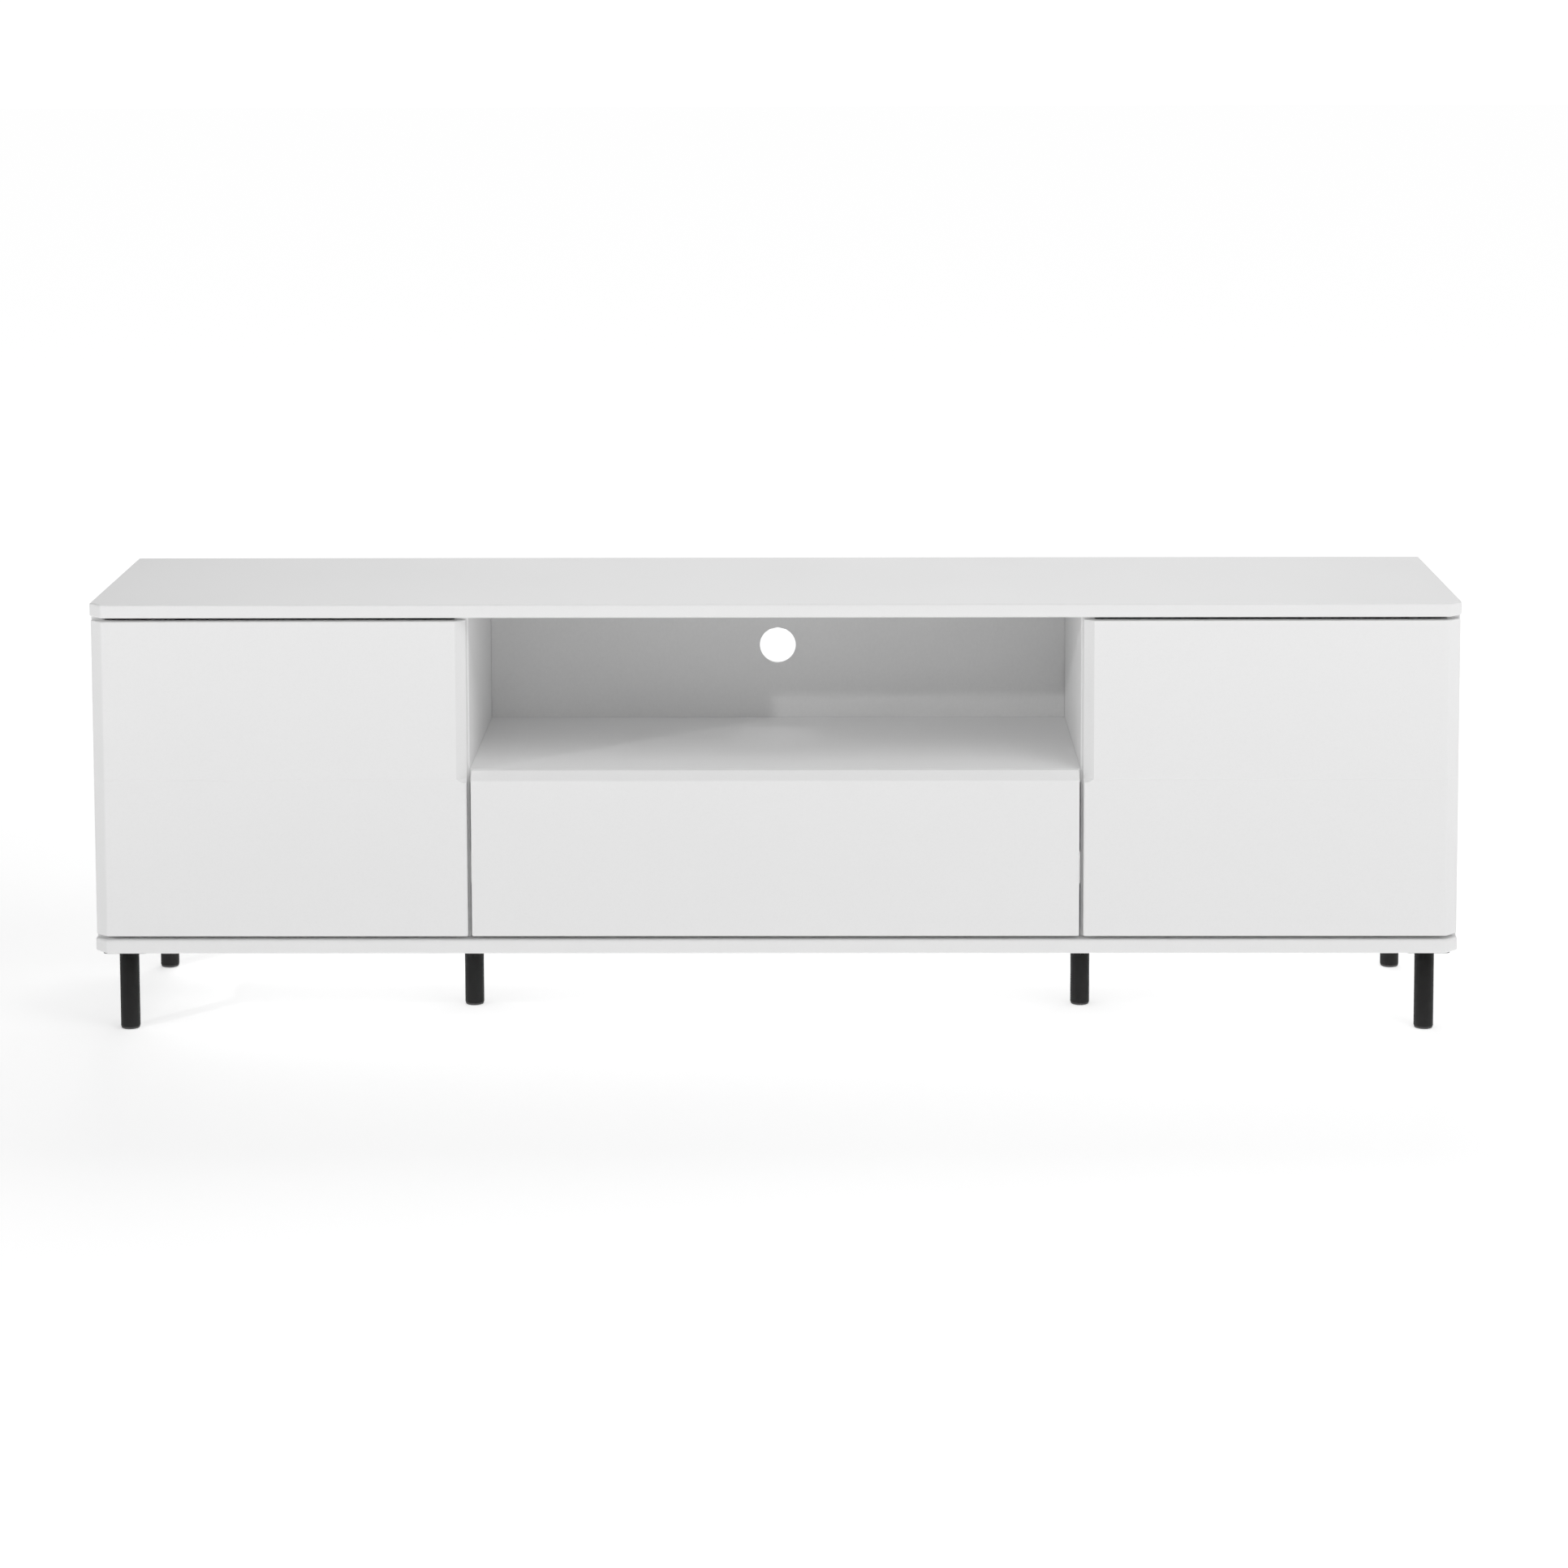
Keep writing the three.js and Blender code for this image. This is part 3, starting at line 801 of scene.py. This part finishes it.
def screw_head(place, axis, flip, radius=4.0, height=1.6):
    """Pan head with a round driver recess."""
    profile = [(0, 0), (radius, 0), (radius, height * HEAD_RIM)]
    for k in range(1, HEAD_STEPS):
        angle = pi / 2 * k / HEAD_STEPS
        level = HEAD_RIM + (1 - HEAD_RIM) * sin(angle)
        profile.append((radius * cos(angle) ** HEAD_FULLNESS, height * level))
    profile.append((radius * RECESS_RIM, height))
    profile.append((radius * RECESS_FOOT, height * RECESS_LEVEL))
    profile.append((0, height * HEAD_RIM))
    return turned(profile, place, axis, flip, HEAD_POINTS)


def add_legs():
    for side in SIDES:
        for row in LEG_ROWS:
            node = f"{side}_{row}_leg"
            x, y, z = span(node)
            centre = (sum(x) / 2, sum(y) / 2)
            under = z[1] - PLATE_THICK
            parts = [
                slab(rectangle(x, y, LEG_PLATE_CORNER), (under, z[1]), soft=LEG_PLATE_SOFT),
                leg_tube(centre, z[0], under + TUBE_IN_PLATE),
                weld_bead(centre, under),
            ]
            piece(node + "_tube_and_plate", combined(parts), COAT, "carcass", [node])
            heads = []
            for dx in LEG_SCREWS:
                for dy in LEG_SCREWS:
                    heads.append(screw_head((centre[0] + dx, centre[1] + dy, under), "Z", -1))
            piece(node + "_screws", combined(heads), STEEL, "carcass")
            add_glide(f"{side}_{row}_foot_glide", centre)


GLIDE_HEAD = 3.0  # thickness of the head below the tube
GLIDE_SOLE_ROUND = ((1.6, 0), (0.7, 0.3), (0.15, 1.1), (0, 2.0))  # (in from the rim, level)
GLIDE_STEM_IN = 1.2
GLIDE_STEM_TAPER = 0.1
GLIDE_STEM_LEAD = (1.0, 1.5)  # bevel of the stem's upper end, inwards and down


def add_glide(node, centre):
    """Plastic glide: a rounded head under the tube and a stem inside it."""
    x, _, z = span(node)
    radius = (x[1] - x[0]) / 2
    stem = radius - GLIDE_STEM_IN
    lead_in, lead_down = GLIDE_STEM_LEAD
    profile = [(0, 0)]
    profile += [(radius - back, level) for back, level in GLIDE_SOLE_ROUND]
    profile += [
        (radius, GLIDE_HEAD),
        (stem, GLIDE_HEAD),
        (stem - GLIDE_STEM_TAPER, z[1] - lead_down),
        (stem - lead_in, z[1]),
        (0, z[1]),
    ]
    mesh = turned(profile, (*centre, 0))
    piece(node + "_moulding", mesh, PLASTIC, "carcass", [node])


# ---- hinges ----------------------------------------------------------------------------------------

CUP_FLANGE = 1.0
CUP_WALL = 1.5
CUP_RIM = 2  # the flange's width around the bowl
CUP_STEPS = 120  # points around a cup
FLANGE_ARRIS = 0.3
BOWL_OUTSIDE = ((1.2, 0), (0.3, 0.4), (0, 1.3))  # (in from the outside, up from the bottom)
BOWL_LIP = ((0.7, 0), (0.15, 0.25), (0, 0.9))  # (out from the inside, down from the top)
BOWL_FLOOR = ((0, 1.5), (0.5, 0.4), (1.6, 0))  # (in from the inside, up from the floor)
WING_HALF_WIDTH = 8
WING_ROUND = 7
WING_SCREWS = (-24, 24)  # from the middle of the cup
PIVOT_OFF = 9  # from the middle of the cup, away from the door's edge
PIVOT_DEEP = 4.5
PIVOT_RADIUS = 1.6
PIVOT_POINTS = 20
CHANNEL_SHEET = 1.4
CHANNEL_BEND = 2.2
CRANK = (12, 20)  # from the arm's front end, where it steps away from the side panel
ARM_SCREWS = (9, 26)  # from the arm's rear end
MOUNT_WING = (12, 34)  # from the mounting plate's front end
MOUNT_WING_THICK = 3
MOUNT_WING_CORNER = 6
MOUNT_WING_SOFT = 0.6
MOUNT_RIDGE_HALF = 6
MOUNT_RIDGE_CORNER = 2
MOUNT_RIDGE_SOFT = 0.8
MOUNT_RIDGE_SUNK = 2.6  # the ridge starts this far off the panel, inside the wings
MOUNT_SCREWS = (-16, 16)  # from the mounting plate's middle
CUP_SCREW = {"radius": 3.4, "height": 0.7}
ARM_SCREW = {"radius": 3.6, "height": 1.5}
MOUNT_SCREW = {"radius": 4.2, "height": 1.6}
ALMOST_NOTHING = 1e-9


def edge_distance(angle, half_long, half_wide, round_off):
    """Distance from the middle of a rounded rectangle, long along angle 0, to its edge in a direction."""
    c = abs(cos(angle))
    s = abs(sin(angle))
    straight = min(half_long / max(c, ALMOST_NOTHING), half_wide / max(s, ALMOST_NOTHING))
    corner = (half_long - round_off, half_wide - round_off)
    if straight * c < corner[0] or straight * s < corner[1]:
        return straight
    along = corner[0] * c + corner[1] * s
    off = corner[0] ** 2 + corner[1] ** 2 - round_off ** 2
    return along + sqrt(max(0.0, along * along - off))


def cup_meshes(level):
    """Pressed cup with a flange that widens into two wings, its pivot and its screws."""
    x, y, z = span(f"right_{level}_hinge_cup")
    middle_x = sum(x) / 2
    middle_z = sum(z) / 2
    half_long = (z[1] - z[0]) / 2
    rim = (x[1] - x[0]) / 2
    outside = rim - CUP_RIM
    bowl = outside - CUP_WALL
    floor = y[0] + CUP_WALL
    top = y[1]
    angles = [2 * pi * k / CUP_STEPS for k in range(CUP_STEPS)]

    def ring(radius, height):
        return [(middle_x + radius * sin(a), height, middle_z + radius * cos(a)) for a in angles]

    def winged_ring(back, height):
        points = []
        for a in angles:
            wing = edge_distance(a, half_long - back, WING_HALF_WIDTH - back, WING_ROUND)
            reach = max(rim - back, wing)
            points.append((middle_x + reach * sin(a), height, middle_z + reach * cos(a)))
        return points

    rings = [ring(outside - back, y[0] + up) for back, up in BOWL_OUTSIDE]
    rings += [
        ring(outside, top - CUP_FLANGE),
        winged_ring(0, top - CUP_FLANGE),
        winged_ring(0, top - FLANGE_ARRIS),
        winged_ring(FLANGE_ARRIS, top),
    ]
    rings += [ring(bowl + out, top - down) for out, down in BOWL_LIP]
    rings += [ring(bowl - back, floor + up) for back, up in BOWL_FLOOR]
    reach = sqrt(bowl * bowl - PIVOT_OFF * PIVOT_OFF)
    outline = circle(middle_x - PIVOT_OFF, top - PIVOT_DEEP, PIVOT_RADIUS, PIVOT_POINTS)
    pivot = slab(outline, (middle_z - reach, middle_z + reach), "Z")
    screws = [screw_head((middle_x, top, middle_z + d), "Y", 1, **CUP_SCREW) for d in WING_SCREWS]
    return [loft(rings), pivot], screws


def arm_meshes(level):
    """Folded channel of the arm, open towards the side panel and deeper at its cranked front."""
    x, y, z = span(f"right_{level}_hinge_arm")
    near = span(f"right_{level}_hinge_plate")[0][0]
    far = x[0]
    stations = [(y[0], x[1]), (y[0] + CRANK[0], x[1]), (y[0] + CRANK[1], near), (y[1], near)]

    def section(open_edge):
        t = CHANNEL_SHEET
        return rounded([
            (z[0], open_edge, 0),
            (z[0], far, CHANNEL_BEND),
            (z[1], far, CHANNEL_BEND),
            (z[1], open_edge, 0),
            (z[1] - t, open_edge, 0),
            (z[1] - t, far + t, CHANNEL_BEND - t),
            (z[0] + t, far + t, CHANNEL_BEND - t),
            (z[0] + t, open_edge, 0),
        ])

    channel_mesh = loft([[(p.y, depth, p.x) for p in section(edge)] for depth, edge in stations])
    height = sum(z) / 2
    screws = [screw_head((far, y[1] - back, height), "X", -1, **ARM_SCREW) for back in ARM_SCREWS]
    return channel_mesh, screws


def mount_meshes(level):
    """Mounting plate: two wings on the side panel and a ridge that carries the arm."""
    x, y, z = span(f"right_{level}_hinge_plate")
    height = sum(z) / 2
    wing_y = (y[0] + MOUNT_WING[0], y[0] + MOUNT_WING[1])
    wing_face = x[1] - MOUNT_WING_THICK
    wings = slab(rectangle(wing_y, z, MOUNT_WING_CORNER), (wing_face, x[1]), "X", MOUNT_WING_SOFT)
    ridge_z = (height - MOUNT_RIDGE_HALF, height + MOUNT_RIDGE_HALF)
    ridge_x = (x[0], x[1] - MOUNT_RIDGE_SUNK)
    ridge = slab(rectangle(y, ridge_z, MOUNT_RIDGE_CORNER), ridge_x, "X", MOUNT_RIDGE_SOFT)
    screw_y = sum(wing_y) / 2
    screws = [screw_head((wing_face, screw_y, height + d), "X", -1, **MOUNT_SCREW) for d in MOUNT_SCREWS]
    return [wings, ridge], screws


def add_hinges():
    for side in SIDES:
        for level in HINGE_LEVELS:
            node = f"{side}_{level}_hinge_"
            door = side + "_door_body"
            pressing, heads = cup_meshes(level)
            cup = on_side(side, combined(pressing))
            piece(node + "cup_pressing", cup, STEEL, door, [node + "cup"])
            piece(node + "cup_screws", on_side(side, combined(heads)), STEEL, door)
            arm, arm_screws = arm_meshes(level)
            piece(node + "arm_channel", on_side(side, arm), STEEL, "carcass", [node + "arm"])
            plates, plate_screws = mount_meshes(level)
            mount = on_side(side, combined(plates))
            piece(node + "plate_casting", mount, STEEL, "carcass", [node + "plate"])
            screws = on_side(side, combined(arm_screws + plate_screws))
            piece(node + "screws", screws, STEEL, "carcass")


# ---- drawer runners --------------------------------------------------------------------------------

SHEET = 1.2
SHEET_BEND = 2.4
BALL = 1.6
BALL_PITCH = 13
BALLS = 9
BALL_GAP = 1.75  # from the drawer rail's edge to the middle of a row
FIRST_BALL = 30  # from the drawer rail's front end
CAGE_AXIS = 2.4  # from the middle rail's low side to the middle of a row
CAGE_BEFORE = 6  # how far a cage reaches past its first and last ball
CAGE_HALF_THICK = 0.3
CAGE_HALF_WIDE = 2.0
CAGE_CORNER = 0.2
RUNNER_SCREWS = (22, 118, 246)  # from a rail's front end
RUNNER_SCREW = {"radius": 3.2, "height": 1.0}


def channel(x, z, web_low):
    """Section of a rail in Z and X. The web is at the low or the high X end."""
    web, tip = (x[0], x[1]) if web_low else (x[1], x[0])
    inside = web + SHEET if web_low else web - SHEET
    outline = rounded([
        (z[0], tip, 0),
        (z[0], web, SHEET_BEND),
        (z[1], web, SHEET_BEND),
        (z[1], tip, 0),
        (z[1] - SHEET, tip, 0),
        (z[1] - SHEET, inside, SHEET_BEND - SHEET),
        (z[0] + SHEET, inside, SHEET_BEND - SHEET),
        (z[0] + SHEET, tip, 0),
    ])
    return outline if web_low else list(reversed(outline))


def rail_mesh(name):
    x, y, z = span(f"right_{name}_rail")
    outline = channel(x, z, web_low=(name == "drawer"))
    return slab(outline, y, "Y")


def balls(x, y, z):
    """One row of bearing balls, from the front of the middle rail backwards."""
    row = []
    for k in range(BALLS):
        ball = bmesh.new()
        bmesh.ops.create_icosphere(ball, subdivisions=3, radius=BALL)
        place = Matrix.Translation((x, y + k * BALL_PITCH, z))
        bmesh.ops.transform(ball, matrix=place, verts=ball.verts)
        row.append(ball)
    return row


def cage_meshes():
    """Ball cages above and below the drawer rail, carried by the middle rail."""
    _, y, z = span("right_drawer_rail")
    centre = span("right_middle_rail")[0][0] + CAGE_AXIS
    first = y[0] + FIRST_BALL
    last = first + (BALLS - 1) * BALL_PITCH
    parts = []
    for level in (z[0] - BALL_GAP, z[1] + BALL_GAP):
        parts += balls(centre, first, level)
        thick = (level - CAGE_HALF_THICK, level + CAGE_HALF_THICK)
        wide = (centre - CAGE_HALF_WIDE, centre + CAGE_HALF_WIDE)
        strip = rectangle(thick, wide, CAGE_CORNER)
        parts.append(slab(strip, (first - CAGE_BEFORE, last + CAGE_BEFORE), "Y"))
    return parts


def add_runners():
    for side in SIDES:
        bodies = {"cabinet": "carcass", "middle": side + "_runner_middle", "drawer": "drawer"}
        for name, body in bodies.items():
            node = f"{side}_{name}_rail"
            mesh = on_side(side, rail_mesh(name))
            piece(node + "_profile", mesh, STEEL, body, [node])
        cages = on_side(side, combined(cage_meshes()))
        piece(side + "_ball_cages", cages, STEEL, side + "_runner_middle")
        for name, flip in (("cabinet", -1), ("drawer", 1)):
            x, y, z = span(f"right_{name}_rail")
            face = x[1] - SHEET if name == "cabinet" else x[0] + SHEET
            height = sum(z) / 2
            heads = [screw_head((face, y[0] + d, height), "X", flip, **RUNNER_SCREW) for d in RUNNER_SCREWS]
            screws = on_side(side, combined(heads))
            piece(f"{side}_{name}_rail_screws", screws, STEEL, bodies[name])


# ---- small fittings in the carcass -------------------------------------------------------------------

PIN_IN_PANEL = 9
PIN_FOOT = (0.4, 0.6)  # bevel of the end in the panel, across and along
PIN_NOSE = ((0, 0.7), (0.25, 0.2), (0.7, 0))  # (in from the side, back from the free end)
PIN_POINTS = 24
COLLAR_RADIUS = 3.6
COLLAR_THICK = 0.7
COLLAR_BEVEL = 0.15
CAP_RADIUS = 8.5
CAP_THICK = 0.9
CAP_LEVELS = (34, -34)  # from the base panel up and from the top panel down
CAP_DEPTHS = (-120, 120)
BUMPER_RADIUS = 4
BUMPER_THICK = 1.6
BUMPER_IN = 10  # from the divider's niche face to a door bumper
BUMPER_FROM_END = 30


def shelf_pin(reach, row):
    """Pin lying along X on the right-hand side, with a collar against the panel it stands in."""
    x, y, z = span(f"right_{reach}_{row}_shelf_pin")
    buried, direction = (x[1], -1) if reach == "outer" else (x[0], 1)
    radius = (z[1] - z[0]) / 2
    length = x[1] - x[0]
    collar_end = PIN_IN_PANEL + COLLAR_THICK
    profile = [
        (0, 0),
        (radius - PIN_FOOT[0], 0),
        (radius, PIN_FOOT[1]),
        (radius, PIN_IN_PANEL),
        (COLLAR_RADIUS - COLLAR_BEVEL, PIN_IN_PANEL),
        (COLLAR_RADIUS, PIN_IN_PANEL + COLLAR_BEVEL),
        (COLLAR_RADIUS, collar_end - COLLAR_BEVEL),
        (COLLAR_RADIUS - COLLAR_BEVEL, collar_end),
        (radius, collar_end),
    ]
    profile += [(radius - inwards, length - back) for inwards, back in PIN_NOSE]
    profile.append((0, length))
    place = (buried, sum(y) / 2, sum(z) / 2)
    return turned(profile, place, "X", direction, PIN_POINTS)


DISC_ROUND = ((0, 0.45), (0.15, 0.75), (0.45, 0.93))  # (in from the rim, level), as shares of the thickness
DISC_DOME = (0.55, 0.98)  # share of the radius, share of the thickness
DISC_POINTS = 32


def disc(place, axis, flip, radius, thick):
    """Low round cap or bumper with a softly rounded rim and a slightly domed face."""
    profile = [(0, 0), (radius, 0)]
    profile += [(radius - thick * back, thick * level) for back, level in DISC_ROUND]
    profile += [(radius * DISC_DOME[0], thick * DISC_DOME[1]), (0, thick)]
    return turned(profile, place, axis, flip, DISC_POINTS)


def add_shelf_pins():
    for side in SIDES:
        for reach in ("outer", "inner"):
            for row in ("front", "back"):
                node = f"{side}_{reach}_{row}_shelf_pin"
                pin = on_side(side, shelf_pin(reach, row))
                piece(node + "_turning", pin, STEEL, "carcass", [node])


def cam_caps():
    """Caps over the cam fittings, on the cupboard's two upright faces."""
    panel_x, _, panel_z = span("right_side_panel")
    divider_x = span("right_divider")[0]
    caps = []
    for z in (panel_z[0] + CAP_LEVELS[0], panel_z[1] + CAP_LEVELS[1]):
        for y in CAP_DEPTHS:
            caps.append(disc((panel_x[0], y, z), "X", -1, CAP_RADIUS, CAP_THICK))
            caps.append(disc((divider_x[1], y, z), "X", 1, CAP_RADIUS, CAP_THICK))
    return combined(caps)


def bumpers():
    """Two bumpers for the door on the divider, and one for the drawer on the niche floor."""
    _, panel_y, panel_z = span("right_side_panel")
    door_x = span("right_divider")[0][0] + BUMPER_IN
    shelf_x, _, shelf_z = span("niche_floor_panel")
    places = [(door_x, panel_z[0] + BUMPER_FROM_END), (door_x, panel_z[1] - BUMPER_FROM_END)]
    places.append((shelf_x[1] - BUMPER_FROM_END, sum(shelf_z) / 2))
    size = (BUMPER_RADIUS, BUMPER_THICK)
    return combined([disc((x, panel_y[0], z), "Y", -1, *size) for x, z in places])


def add_small_fittings():
    add_shelf_pins()
    for side in SIDES:
        piece(side + "_cam_caps", on_side(side, cam_caps()), CAP, "carcass")
        piece(side + "_bumpers", on_side(side, bumpers()), RUBBER, "carcass")


# ---- floor and light -------------------------------------------------------------------------------

WORLD_LIGHT = 0.01
WORLD_SEEN = 1.05  # what the camera sees where the floor ends
FLOOR_SIZE = 30
FLOOR_GLOW = 0.40  # the floor near the stand
FLOOR_FAR_GLOW = 0.98  # further out, where the lamps no longer reach it
FLOOR_FADE = (1.6, 4.5)  # distances between which the one turns into the other
DISPLAY_GAMMA = 1.4  # the soft tone curve of a studio picture


def add_floor():
    mesh = bmesh.new()
    bmesh.ops.create_grid(mesh, x_segments=4, y_segments=4, size=FLOOR_SIZE)
    data = bpy.data.meshes.new("floor")
    mesh.to_mesh(data)
    mesh.free()
    floor = bpy.data.objects.new("floor", data)
    scene.collection.objects.link(floor)
    n = Nodes("pale floor")
    n.set(Base_Color=n.mixed(n.noise(1.2, 2), 0.93, 0.95))
    n.set(Roughness=n.ranged(n.noise(3, 2), 0.85, 0.95))
    n.set(Specular_IOR_Level=0.0)
    n.set(Emission_Color=(1, 1, 1, 1))
    away = n.tree.nodes.new("ShaderNodeVectorMath")
    away.operation = "LENGTH"
    n.link(n.place, away.inputs[0])
    glow = n.ranged(away.outputs["Value"], FLOOR_GLOW, FLOOR_FAR_GLOW, *FLOOR_FADE)
    n.set(Emission_Strength=glow)
    data.materials.append(n.material)


def add_lamp(name, place, aim, size, power):
    data = bpy.data.lights.new(name, "AREA")
    data.shape = "RECTANGLE"
    data.size, data.size_y = size
    data.energy = power
    light = bpy.data.objects.new(name, data)
    light.location = place
    direction = Vector(aim) - Vector(place)
    light.rotation_mode = "QUATERNION"
    light.rotation_quaternion = direction.to_track_quat("-Z", "Y")
    scene.collection.objects.link(light)


def add_world():
    world = bpy.data.worlds.new("studio")
    world.use_nodes = True
    tree = world.node_tree
    background = tree.nodes["Background"]
    background.inputs["Color"].default_value = (1, 1, 1, 1)
    paths = tree.nodes.new("ShaderNodeLightPath")
    strength = tree.nodes.new("ShaderNodeMapRange")
    strength.inputs["To Min"].default_value = WORLD_LIGHT
    strength.inputs["To Max"].default_value = WORLD_SEEN
    tree.links.new(paths.outputs["Is Camera Ray"], strength.inputs["Value"])
    tree.links.new(strength.outputs["Result"], background.inputs["Strength"])
    scene.world = world


MIDDLE = (0, 0, 0.35)
TOP_MIDDLE = (0, 0, 0.5)
NICHE = (-0.1, 0, 0.4)

# Each lamp: where it hangs, what it aims at, its width and height in metres, and its power in watts.
LAMPS = {
    "key_right": ((2.6, -3.2, 2.9), MIDDLE, (2.2, 2.2), 8),
    "high_right": ((2.0, -1.8, 3.0), MIDDLE, (2.4, 2.0), 32),
    "high_front": ((0.0, -1.9, 3.3), MIDDLE, (4.0, 2.2), 27),
    "front": ((0.3, -4.6, 2.2), MIDDLE, (3.0, 1.5), 14),
    "low_right": ((3.2, -3.0, 1.2), MIDDLE, (1.4, 1.4), 5),
    "high_back": ((0.0, 2.6, 2.6), TOP_MIDDLE, (3.0, 1.5), 62),
    "back_right": ((2.4, 2.4, 2.6), TOP_MIDDLE, (1.5, 1.5), 9),
    "beside_right": ((3.2, 0.7, 1.2), MIDDLE, (1.5, 1.5), 12),
    "small_left": ((-2.925, -2.46, 1.61), NICHE, (0.07, 0.07), 23),
}


def add_light():
    add_world()
    for name, (place, aim, size, power) in LAMPS.items():
        add_lamp(name, place, aim, size, power)
    scene.view_settings.view_transform = "Standard"
    scene.view_settings.look = "None"
    scene.view_settings.gamma = DISPLAY_GAMMA


add_camera()
add_carcass()
add_doors()
add_drawer_front()
add_drawer_box()
add_legs()
add_hinges()
add_runners()
add_small_fittings()
add_floor()
add_light()

bpy.context.view_layer.update()
